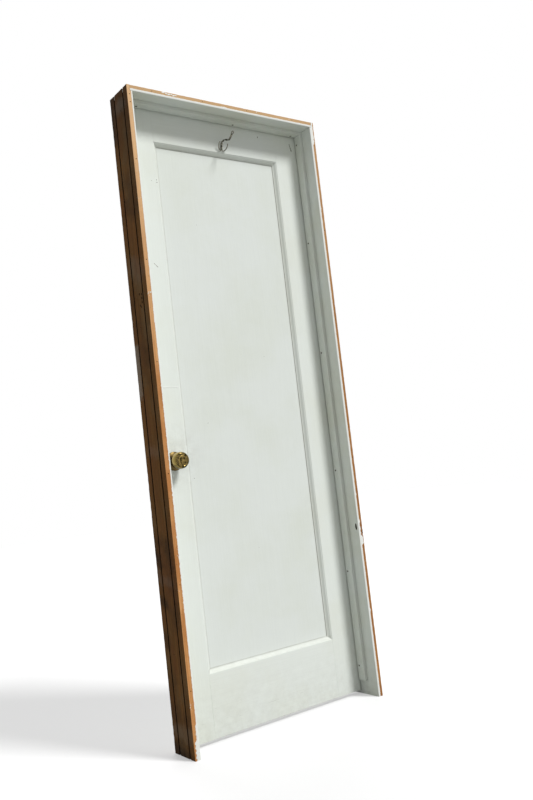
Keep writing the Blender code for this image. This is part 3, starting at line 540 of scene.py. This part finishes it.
hinge_back = old_back("old sawn pine of hinge jamb", "Z", hinge_out, [
    (0.05, 0.0, -0.05, -0.02, 0.050, 0.85, soot), (0.0, 2.00, 0.0, 2.06, 0.110, 0.35, soot),
    (0.050, 0.50, 0.054, 0.90, 0.022, 0.55, soot), (-0.02, 1.62, -0.01, 1.44, 0.026, 0.80, fibres),
    (0.01, 0.86, -0.02, 0.84, 0.030, 0.50, rubbed), (-0.048, 1.12, -0.046, 1.00, 0.018, 0.60, soot)])
head_back = old_back("old sawn pine of head", "X")

# The ploughs: nearly black, matt and crumbly, as old dirt and painted shade in the groove
plough_dirt_and_shade, tree, shader, place = blank("dust, soot and painted shade in a plough", 0.1)
crumb = mottle(tree, place, 420.0, 5.0, 0.65)
streak = mottle(tree, place, 14.0, 4.0)
tint = blend(tree, between(tree, crumb, 0.35, 0.7), "#1a1109", "#3a2816")
tint = blend(tree, between(tree, streak, 0.52, 0.66, 0.0, 0.7), tint, "#5a3f24")
dress(tree, shader, tint, between(tree, crumb, 0.3, 0.7, 0.80, 0.97), (crumb, 0.8, 0.0004))

frame_nail = 0.0017            # radius of the nails that held the frame in its wall
casing_nails = 0.0125          # the casings' nails, out from the doorway's face
rabbet = 0.008                 # depth that the head is let into the jambs
strike_thick = 0.0016
plate_seat = 0.0025            # depth of a hinge plate's seat
pocket = Vector((0.012, 0.0145, 0.026))  # deep, wide and high, behind the strike for the bolt

# Latch jamb, with the mortise for the strike, the rabbet for the head, the nails' holes and dents
latch_stray = edge_stray(1.0, [(1.30, 1.36, 0.0006, 0.002), (0.84, 1.12, 0.0002, 0.0018),
                               (0.42, 0.80, 0.0004, 0.0026), (0.13, 0.30, 0.0, 0.0020),
                               (-0.01, 0.105, 0.0035, 0.0020), (-0.01, 0.058, 0.0055, 0.0020)])
latch_jamb = frame_board("latch_jamb", 0.0045, 0.0, head_top, latch_stray, upright(latch_face, -1),
                         [jamb_paint, latch_edge, latch_back])
holes = bmesh.new()
box_cutter(holes, (latch_face - rabbet, front_y - past, head_under - fit),
           (latch_face + past, back_y + past, head_top + past))
strike_low, strike_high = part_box("strike_plate")
box_cutter(holes, (latch_face - strike_thick - fit, strike_low.y - fit, strike_low.z - fit),
           (latch_face + 0.002, back_y + past, strike_high.z + fit))
bolt = Vector((latch_face, leaf_middle.y, knob_axis.z))
box_cutter(holes, bolt - Vector((pocket.x, pocket.y / 2, pocket.z / 2)),
           bolt + Vector((-0.001, pocket.y / 2, pocket.z / 2)))
for up in (2.037, 2.011, 1.8255, 1.504, 1.184, 0.842, 0.51, 0.20):
    nail_cutter(holes, (latch_out + 0.0083, front_y + film, up), (0, 1, 0))
    nail_cutter(holes, (latch_out + 0.0090, back_y - film, up - 0.03), (0, -1, 0))
for y, up in ((0.0329, 1.9997), (-0.0074, 2.0028), (0.0055, 1.3037),
              (0.046, 0.9), (-0.012, 0.62), (0.005, 0.3)):
    nail_cutter(holes, (latch_out, y, up), (1, 0, 0), frame_nail)
for y, up, wide, tall in ((-0.0072, 1.4066, 0.0030, 0.0042), (-0.0215, 1.4030, 0.0030, 0.0040),
                          (-0.0203, 1.3915, 0.0036, 0.0050), (-0.0200, 1.3790, 0.0034, 0.0050),
                          (-0.0070, 1.3700, 0.0030, 0.0036), (-0.0118, 1.3655, 0.0016, 0.0040)):
    dent_cutter(holes, (latch_out, y, up), (0.0016, wide, tall), 0.0, 0.3)
cut(latch_jamb, holes, torn_wood_and_shade)
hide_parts("jamb_latch_side")

# Hinge jamb, with the seats of the hinges, a deep gouge and a torn stretch of its front edge
hinge_stray = edge_stray(2.0, [(1.982, 2.08, 0.006, 0.003), (0.596, 0.612, 0.003, 0.001),
                               (0.556, 0.592, 0.001, 0.003), (0.520, 0.556, 0.008, 0.004),
                               (0.692, 0.706, 0.002, 0.001), (0.29, 0.302, 0.003, 0.001)])
hinge_jamb = frame_board("hinge_jamb", 0.0076, 0.0, head_top, hinge_stray, upright(hinge_face, 1),
                         [jamb_paint, hinge_edge, hinge_back])
holes = bmesh.new()
box_cutter(holes, (hinge_face - past, front_y - past, head_under - fit),
           (hinge_face + rabbet, back_y + past, head_top + past))
for where in ("top", "middle", "bottom"):
    low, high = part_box(f"hinge_{where}_jamb_plate")
    box_cutter(holes, (hinge_face - past, low.y - fit, low.z - fit),
               (hinge_face + plate_seat, back_y + past, high.z + fit))
for up in (1.98, 1.66, 1.33, 1.01, 0.83, 0.41, 0.12):
    nail_cutter(holes, (hinge_face + casing_nails, front_y + film, up), (0, 1, 0))
    nail_cutter(holes, (hinge_face + casing_nails, back_y - film, up + 0.04), (0, -1, 0))
for y, up in ((-0.04, 1.83), (0.045, 1.80), (0.0, 1.18), (-0.045, 0.71), (0.04, 0.68), (0.01, 0.22)):
    nail_cutter(holes, (hinge_out, y, up), (-1, 0, 0), frame_nail)
dent_cutter(holes, (hinge_face, front_y + 0.012, 0.586), (0.007, 0.0042, 0.0120))
for x, up, tall in ((0.0083, 0.5790, 0.0062), (0.0070, 0.5665, 0.0050), (0.0088, 0.5560, 0.0046)):
    dent_cutter(holes, (x, front_y, up), (0.0030, 0.0032, tall), 6.0)
cut(hinge_jamb, holes, torn_wood_and_shade)
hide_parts("jamb_hinge_side")

# Head, let into the jambs and nailed through them
head_low, head_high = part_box("head_jamb")
head_stray = edge_stray(3.0, [(-0.40, -0.37, 0.002, 0.001)])
head = frame_board("head", 0.0072, head_low.x, head_high.x, head_stray, level(head_under, 1),
                   [head_paint, head_edge, head_back])
holes = bmesh.new()
for along in (-0.66, -0.47, -0.29, -0.09):
    nail_cutter(holes, (along, front_y + film, head_under + casing_nails), (0, 1, 0), 0.0012)
    nail_cutter(holes, (along + 0.03, back_y - film, head_under + casing_nails), (0, -1, 0), 0.0012)
cut(head, holes, torn_wood_and_shade)
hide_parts("head_jamb")

# Flakes: scraps of old paint and filler that the casing left on the head's bare edge
scraps = bmesh.new()
for x, up, long, tall, turn in ((-0.6185, 2.0650, 0.0060, 0.0016, 6),
                                (-0.6072, 2.0630, 0.0050, 0.0019, -14),
                                (-0.5972, 2.0620, 0.0052, 0.0023, 10),
                                (-0.5880, 2.0632, 0.0040, 0.0016, -8),
                                (-0.5798, 2.0610, 0.0050, 0.0021, 12),
                                (-0.5715, 2.0626, 0.0030, 0.0014, 0),
                                (-0.2475, 2.0640, 0.0024, 0.0009, 15),
                                (-0.1032, 2.0612, 0.0020, 0.0008, -20)):
    lay = (Matrix.Translation((x, front_y + film, up)) @ Matrix.Rotation(math.radians(90), 4, "X")
           @ Matrix.Rotation(math.radians(turn), 4, "Z") @ Matrix.Diagonal((long, tall, 1.0, 1.0)))
    flake = bmesh.ops.create_circle(scraps, cap_ends=True, segments=14, radius=1.0, matrix=lay)["verts"]
    for v in flake:
        v.co.x += noise.noise(v.co * 700.0) * 0.0016
        v.co.z += noise.noise(v.co * 900.0 + Vector((5, 0, 0))) * 0.0007
for face in list(scraps.faces):
    pull(scraps, [face], (0.0, -film * 0.9, 0.0))
settle("paint_scraps", scraps, [head_paint], "frame")

# Plaster: two hard white lumps that the wall left in the mouths of the latch jamb's ploughs
lumps = bmesh.new()
for y, up, tall in ((front_y + plough_inset, 2.0585, 0.0085), (back_y - plough_inset, 2.0600, 0.0070)):
    middle, size = (latch_out + plough_deep * 0.55, y, up), (plough_deep * 0.42, 0.0028, tall)
    lump = Matrix.LocRotScale(Vector(middle), None, Vector(size))
    for v in bmesh.ops.create_icosphere(lumps, subdivisions=3, radius=1.0, matrix=lump)["verts"]:
        v.co += noise.noise_vector(v.co * 420.0) * 0.0006

# Broken lime plaster: chalk white and grey, gritty and quite matt
plaster, tree, shader, place = blank("lime plaster, broken", 0.2)
grit = mottle(tree, place, 1100.0, 4.0)
tint = blend(tree, between(tree, grit, 0.35, 0.68), "#ece8dd", "#b3ab99")
dress(tree, shader, tint, between(tree, grit, 0.3, 0.7, 0.80, 0.97), (grit, 0.8, 0.0004))
settle("plaster_lumps", lumps, [plaster], "frame")


# Stops: strips of pine nailed round the jambs for the leaf to close on. The side ones end 50 mm
# above the floor; the nails' heads have sunk and the holes over them are open.
stop_thick, stop_round = 0.011, 0.0012


def stop_section(low, high):
    """Section of a stop between two places across the jamb."""
    near = [(stop_thick - u, low + v, PAINT) for u, v in round_corner(stop_round)]
    far = [(u, low + high - v, PAINT) for u, v, coat in reversed(near)]
    return [(0.0, low, PAINT), *near, *far, (0.0, high, PAINT)]


def stop_stray(seed):
    """Wander of a stop: its outer corners were rounded by hand and by many coats."""
    def stray(i, along):
        worn = 0.0 if i in (0, 9) else abs(noise.noise(Vector((along * 12.0, seed, 0.0)))) * 0.0003
        return -worn, 0.0
    return stray


stop_low, stop_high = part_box("stop_head")
stop_corner = ("Y", (stop_low.y + stop_high.y) / 2, (stop_high.y - stop_low.y) / 2)
between_stops = (doorway[0], doorway[1], doorway[2] - stop_thick - fit)
under_stop = ("Z", head_under - stop_thick - fit, 0.0)
stop_coat = ("#dde2dc", "#d5d8cb", "#a87846")
upright_paint = painted_wood("oil paint on upright stop", "Z", stop_coat,
                             [(between_stops, stop_corner)], 0.002)
level_paint = painted_wood("oil paint on level stop", "X", stop_coat, [(under_stop, stop_corner)], 0.002)
stop_y = 0.0115                # the line of the stops' nails
for name, node, turn, coat, nails, way in (
        ("latch_stop", "stop_latch_side", upright(latch_face + fit, 1),
         upright_paint, (1.985, 1.61, 1.20, 0.80, 0.41, 0.11), (-1, 0, 0)),
        ("hinge_stop", "stop_hinge_side", upright(hinge_face - fit, -1),
         upright_paint, (2.006, 1.63, 1.22, 0.79, 0.43, 0.10), (1, 0, 0)),
        ("head_stop", "stop_head", level(head_under - fit, -1),
         level_paint, (-0.6824, -0.3036, -0.0449), (0, 0, 1))):
    low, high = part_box(node)
    start, end = (low.x, high.x) if name == "head_stop" else (low.z, high.z)
    shape = board(stop_section(low.y, high.y), start, end, 0.02, stop_stray(start))
    bmesh.ops.transform(shape, matrix=turn, verts=shape.verts)
    stop = settle(name, shape, [coat], "frame")
    holes = bmesh.new()
    face = turn @ Vector((stop_thick, 0.0, 0.0))
    for along in nails:
        spot = (along, stop_y, face.z) if name == "head_stop" else (face.x, stop_y, along)
        nail_cutter(holes, spot, way, 0.0031 if name == "head_stop" else 0.0026)
    cut(stop, holes, torn_wood_and_shade)
    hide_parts(node)


# Knob set: spun brass drums with a sunk ring in their domed faces, and pressed brass roses. The
# lacquer has gone and only the rims are rubbed bright. The faces are dark with tarnish and a painted
# dark reflection, the drums' lower side is painted shade, and the ring has a painted highlight.
def spun(name, profile, centre, out, coat, body):
    """A spun shell, closed: profile is (radius, distance out) from the centre, along +Y or -Y."""
    bm = bmesh.new()
    line = [bm.verts.new((r, out * d, 0.0)) for r, d in profile]
    edges = [bm.edges.new(pair) for pair in zip(line, line[1:])]
    bmesh.ops.spin(bm, geom=line + edges, cent=(0, 0, 0), axis=(0, 1, 0), angle=math.tau, steps=72,
                   use_merge=True)
    bmesh.ops.remove_doubles(bm, verts=bm.verts, dist=1e-6)
    bmesh.ops.translate(bm, vec=centre, verts=bm.verts)
    return settle(name, bm, [coat], body, 50.0)


def smooth_line(points):
    """A smooth line through the given points, in five steps from each to the next."""
    ends = [points[0]] + points + [points[-1]]
    line = []
    for a, b, c, d in zip(ends, ends[1:], ends[2:], ends[3:]):
        for t in (0.0, 0.2, 0.4, 0.6, 0.8):
            line.append(tuple(0.5 * (2 * q + (r - p) * t + (2 * p - 5 * q + 4 * r - s) * t * t
                                     + (3 * q - p - 3 * r + s) * t ** 3) for p, q, r, s in zip(a, b, c, d)))
    return line + [points[-1]]


# Spun brass: bright yellow where hands rub the rim, blotched black-brown on the face with tarnish
# and a painted dark reflection, painted shade below and a painted highlight on the ring's upper side
brass, tree, shader, place = blank("spun brass, tarnished, painted shade and highlight")
flat = vector(tree, "MULTIPLY", place, (1.0, 0.0, 1.0))
away = vector(tree, "DISTANCE", flat, (knob_axis.x, 0.0, knob_axis.z))
bloom = mottle(tree, place, 110.0, 6.0, 0.65)
fine = mottle(tree, place, 900.0, 2.0)
# Painted shade: the drum is coloured darker on its lower side, away from the lamp
shaded_way = Vector((0.62, 0.0, -0.78))
level_there = knob_axis.dot(shaded_way)
side = vector(tree, "DOT_PRODUCT", place, shaded_way)
side = between(tree, side, level_there - 0.022, level_there + 0.024)
painted_shade_low_side = between(tree, side, 0.42, 0.86, 0.0, 0.95)
# The face is coloured darker: tarnish, and a painted dark reflection
face = calc(tree, "MAXIMUM", between(tree, away, 0.0232, 0.0260, 0.94, 0.0), painted_shade_low_side)
face = calc(tree, "MULTIPLY", face, between(tree, bloom, 0.36, 0.58, 0.66, 1.06))
# Painted highlight: the crest of the face's ring is coloured lighter on its upper side
painted_ring_highlight = between(tree, away, 0.0140, 0.0155, 1.0, 0.0)
painted_ring_highlight = calc(tree, "MULTIPLY", between(tree, away, 0.0105, 0.0125), painted_ring_highlight)
painted_ring_highlight = calc(tree, "MULTIPLY", painted_ring_highlight, between(tree, side, 0.30, 0.62, 0.34, 0.0))
dark = add(tree, "Math", {0: face, 1: painted_ring_highlight}, operation="SUBTRACT", use_clamp=True)
deep = blend(tree, between(tree, bloom, 0.42, 0.60), "#4f4124", "#262313")
tint = blend(tree, dark, "#c2a766", deep)
gloss = calc(tree, "MULTIPLY_ADD", dark, 0.10, between(tree, fine, 0.3, 0.7, 0.10, 0.16))
dress(tree, shader, tint, gloss, (bloom, 0.15, 0.0001), metal=1.0)

# Pressed brass: dull olive brown all over, with a weak shine
rose_brass, tree, shader, place = blank("pressed brass, tarnished")
bloom = mottle(tree, place, 60.0, 6.0, 0.65)
tint = blend(tree, between(tree, bloom, 0.36, 0.62), "#665633", "#332a19")
dress(tree, shader, tint, between(tree, bloom, 0.3, 0.7, 0.30, 0.50), (bloom, 0.2, 0.0001), metal=1.0)

knob_radius, knob_out, neck = 0.0265, 0.054, 0.0095
drum = smooth_line([(0.36, 0.40), (0.50, 0.43), (0.70, 0.445), (0.85, 0.475), (0.935, 0.515),
                    (0.98, 0.57), (1.0, 0.64), (1.0, 0.77), (0.985, 0.84), (0.95, 0.90), (0.89, 0.95),
                    (0.81, 0.98), (0.74, 0.985), (0.66, 0.968), (0.58, 0.968), (0.46, 0.985),
                    (0.24, 0.998), (0.0, 1.0)])
shank = [(0.0, 0.0006), (neck, 0.0006), (neck, 0.0012), (neck, 0.018)]
knob_line = shank + [(knob_radius * r, knob_out * d) for r, d in drum]
rose_radius, rose_high, rose_hole = 0.0300, 0.0085, 0.010
dome_out, dome_in = rose_radius * 0.97, 0.014   # radii between which the rose is domed


def dome(radius):
    """Height of the rose's dome at a radius."""
    return rose_high * (0.30 + 0.48 * math.sin((dome_out - radius) / (dome_out - dome_in) * math.pi / 2))


dome_steps = [dome_out - (dome_out - dome_in) * i / 14 for i in range(15)]
rose_line = [(rose_hole, fit), (rose_radius, fit), (rose_radius, rose_high * 0.14),
             (rose_radius * 0.99, rose_high * 0.24)]
rose_line += [(radius, dome(radius)) for radius in dome_steps]
rose_line += [(0.0137, rose_high * 0.86), (0.0131, rose_high * 0.97), (0.0120, rose_high),
              (rose_hole, rose_high), (rose_hole, fit)]
for side, face_y, out in (("front", leaf_low.y, -1), ("back", leaf_high.y, 1)):
    centre = (knob_axis.x, face_y, knob_axis.z)
    knob = spun(f"{side}_knob", knob_line, centre, out, brass, "knob")
    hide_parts(f"knob_{side}")
    rose = spun(f"{side}_rose", rose_line, centre, out, rose_brass, "leaf")
    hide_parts(f"rose_{side}")


# Latch and strike: flat stamped brass plates, let in flush and held by two screws each, with a
# steel tube, its bolt and a square bar behind them.
def slotted_head():
    """Oval screw head of radius 1, looking up with its top at 0, and a sawn slot in it, as a mesh."""
    bm = bmesh.new()
    bmesh.ops.create_circle(bm, cap_ends=True, segments=28, radius=1.0,
                            matrix=Matrix.Translation((0, 0, -0.4)))
    pull(bm, bm.faces[:], (0, 0, 0.4))
    rim = [e for e in bm.edges if all(v.co.z > -0.01 for v in e.verts)]
    bmesh.ops.bevel(bm, geom=rim, offset=0.14, offset_type="OFFSET", segments=3, profile=0.5,
                    affect="EDGES", material=-1)
    for side in (-0.12, 0.12):
        bmesh.ops.bisect_plane(bm, geom=bm.verts[:] + bm.edges[:] + bm.faces[:], plane_co=(0, side, 0),
                               plane_no=(0, 1, 0))
    slot = [f for f in bm.faces if f.normal.z > 0.999 and abs(f.calc_center_median().y) < 0.1]
    pull(bm, slot, (0, 0, -0.1))
    bmesh.ops.delete(bm, geom=[f for f in slot if f.is_valid], context="FACES_ONLY")
    for f in bm.faces:
        middle = f.calc_center_median()
        f.material_index = abs(middle.y) < 0.125 and -0.11 < middle.z < -0.04
    mesh = bpy.data.meshes.new("slotted head")
    bm.to_mesh(mesh)
    bm.free()
    return mesh


head_mesh = slotted_head()

# Dirt and old polish packed in a slot: black-brown and dull
grime, tree, shader, place = blank("dirt packed in a slot", 0.2)
crumb = mottle(tree, place, 1500.0, 3.0)
tint = blend(tree, between(tree, crumb, 0.35, 0.65), "#16120c", "#3b3226")
dress(tree, shader, tint, between(tree, crumb, 0.3, 0.7, 0.7, 0.95), (crumb, 0.6, 0.0002))


def screws(name, places, radius, proud, coat, body):
    """Slotted screws as one piece; each place is (spot on the face, way it faces, turn of its slot)."""
    bm = bmesh.new()
    for spot, way, turn in places:
        way = Vector(way)
        lie = Vector((0, 0, 1)).rotation_difference(way).to_matrix().to_4x4()
        turned = lie @ Matrix.Rotation(math.radians(turn), 4, "Z") @ Matrix.Scale(radius, 4)
        placed = head_mesh.copy()
        placed.transform(Matrix.Translation(Vector(spot) + way * proud) @ turned)
        bm.from_mesh(placed)
        bpy.data.meshes.remove(placed)
    return settle(name, bm, [coat, grime], body, 30.0)


# Rolled steel: grey with brown blooms of rust, between shiny and dull
steel, tree, shader, place = blank("rolled steel, dulled")
rust = mottle(tree, place, 90.0, 6.0, 0.65)
tint = blend(tree, between(tree, rust, 0.48, 0.70), "#8b8881", "#66503a")
dress(tree, shader, tint, between(tree, rust, 0.3, 0.7, 0.35, 0.6), (rust, 0.3, 0.0002), metal=1.0)
clad(steel, "latch_case", "latch_bolt", "spindle")
clad(rose_brass, "latch_faceplate", "strike_plate")
screw_up = 0.0215              # screws above and below the spindle's level
on_rose = leaf_high.y + dome(screw_up)
for name, x, y, way, turns, radius, proud, body in (
        ("strike_screws", latch_face, leaf_middle.y, (1, 0, 0), (70, 12), 0.0038, 0.00045, "frame"),
        ("faceplate_screws", leaf_low.x, leaf_middle.y, (-1, 0, 0), (35, 82), 0.0036, 0.00045, "leaf"),
        ("rose_screws", knob_axis.x, on_rose, (0, 1, 0), (20, 64), 0.0036, 0.0006, "leaf")):
    places = [((x, y, knob_axis.z + up), way, turn) for up, turn in zip((screw_up, -screw_up), turns)]
    screws(name, places, radius, proud, rose_brass, body)

# Hinges: three butts of rolled steel with pressed pins, screwed to leaf and jamb. They were painted
# over with the frame; the paint has cracked off in flakes, and grey and rusty steel shows there.
hinge_steel, tree, shader, place = blank("steel hinge, painted over", 0.35)
crack = mottle(tree, place, 55.0, 7.0, 0.62)
rust = mottle(tree, place, 260.0, 4.0, 0.6)
cover = between(tree, crack, 0.545, 0.56, 1.0, 0.0)
metal = blend(tree, between(tree, rust, 0.45, 0.66), "#77736a", "#4f3a27")
tint = blend(tree, cover, metal, "#d6d9ce")
gloss = calc(tree, "MAXIMUM", between(tree, rust, 0.3, 0.7, 0.35, 0.6), 0.45)
dress(tree, shader, tint, gloss, (cover, 0.7, 0.0002), metal=between(tree, cover, 0.0, 1.0, 1.0, 0.0))
jamb_screws, leaf_screws = [], []
for where in ("top", "middle", "bottom"):
    clad(hinge_steel, f"hinge_{where}_jamb_plate", f"hinge_{where}_leaf_plate", f"hinge_{where}_pin")
    low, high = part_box(f"hinge_{where}_jamb_plate")
    for share, y, turn in ((0.14, 0.0395, 25), (0.5, 0.0505, 110), (0.86, 0.0395, 65)):
        up = low.z + (high.z - low.z) * share
        jamb_screws.append(((hinge_face, y, up), (-1, 0, 0), turn + low.z * 90))
        leaf_screws.append(((leaf_high.x, y, up), (1, 0, 0), turn + 40 + low.z * 70))
for name, places, body in (("jamb_hinge_screws", jamb_screws, "frame"),
                           ("leaf_hinge_screws", leaf_screws, "leaf")):
    screws(name, places, 0.0041, 0.00048, hinge_steel, body)

# Hook: one brass-plated wire bent double, twisted on itself and screwed into the top rail. The
# plating has gone patchy, so dull straw-coloured spots shine beside black ones.
wire, tree, shader, place = blank("brass-plated wire, dull")
spot = mottle(tree, place, 260.0, 5.0, 0.6)
tint = blend(tree, between(tree, spot, 0.38, 0.62), "#928f80", "#211f1a")
dress(tree, shader, tint, between(tree, spot, 0.3, 0.7, 0.14, 0.34), (spot, 0.3, 0.0001), metal=1.0)
clad(wire, "coat_hook")


# Floor: a plain pale floor that keeps the frame's shadow and runs into the white behind it. What
# it throws back on the door is held low, as from a matt ground.
def looked_at(tree):
    """1 where a ray comes from the eye or a mirror, 0 where it only carries light."""
    path = add(tree, "LightPath", {}).node.outputs
    seen = calc(tree, "MAXIMUM", path["Is Camera Ray"], path["Is Glossy Ray"])
    return calc(tree, "MAXIMUM", seen, path["Is Transmission Ray"])


sheet = bmesh.new()
bmesh.ops.create_grid(sheet, x_segments=4, y_segments=4, size=12.0)
floor = bpy.data.objects.new("floor", bpy.data.meshes.new("floor"))
sheet.to_mesh(floor.data)
sheet.free()
bpy.context.collection.objects.link(floor)
floor_coat = bpy.data.materials.new("plain pale floor")
floor_coat.use_nodes = True
tree = floor_coat.node_tree
tree.nodes.remove(tree.nodes["Principled BSDF"])
seen = looked_at(tree)
dull = add(tree, "BsdfDiffuse", {"Color": (0.30, 0.30, 0.29, 1.0)})
lit = add(tree, "BsdfDiffuse", {"Color": (0.60, 0.60, 0.60, 1.0)})
glow = add(tree, "Emission", {"Color": (1.0, 1.0, 1.0, 1.0), "Strength": 0.36})
pale = add(tree, "AddShader", {0: lit, 1: glow})
tree.links.new(add(tree, "MixShader", {0: seen, 1: dull, 2: pale}),
               tree.nodes["Material Output"].inputs["Surface"])
floor.data.materials.append(floor_coat)

# Light: an even white room, a soft lamp high in front and on the hinge side, and a weaker, wider
# one behind, so that every side is lit and the floor keeps a soft shadow.
world = bpy.data.worlds.new("white room")
bpy.context.scene.world = world
world.use_nodes = True
tree = world.node_tree
tree.links.new(between(tree, looked_at(tree), 0.0, 1.0, 0.36, 1.0),
               tree.nodes["Background"].inputs["Strength"])
tree.nodes["Background"].inputs["Color"].default_value = (1.0, 1.0, 1.0, 1.0)
for name, strength, spread, way in (("key lamp", 2.7, 14, (0.32, -0.61, 0.73)),
                                    ("back lamp", 1.5, 45, (0.40, 0.70, 0.42))):
    lamp = bpy.data.lights.new(name, "SUN")
    lamp.energy = strength
    lamp.angle = math.radians(spread)
    stand = bpy.data.objects.new(name, lamp)
    stand.rotation_mode = "QUATERNION"
    stand.rotation_quaternion = Vector(way).to_track_quat("Z", "Y")
    bpy.context.collection.objects.link(stand)

bpy.context.scene.view_settings.view_transform = "Standard"
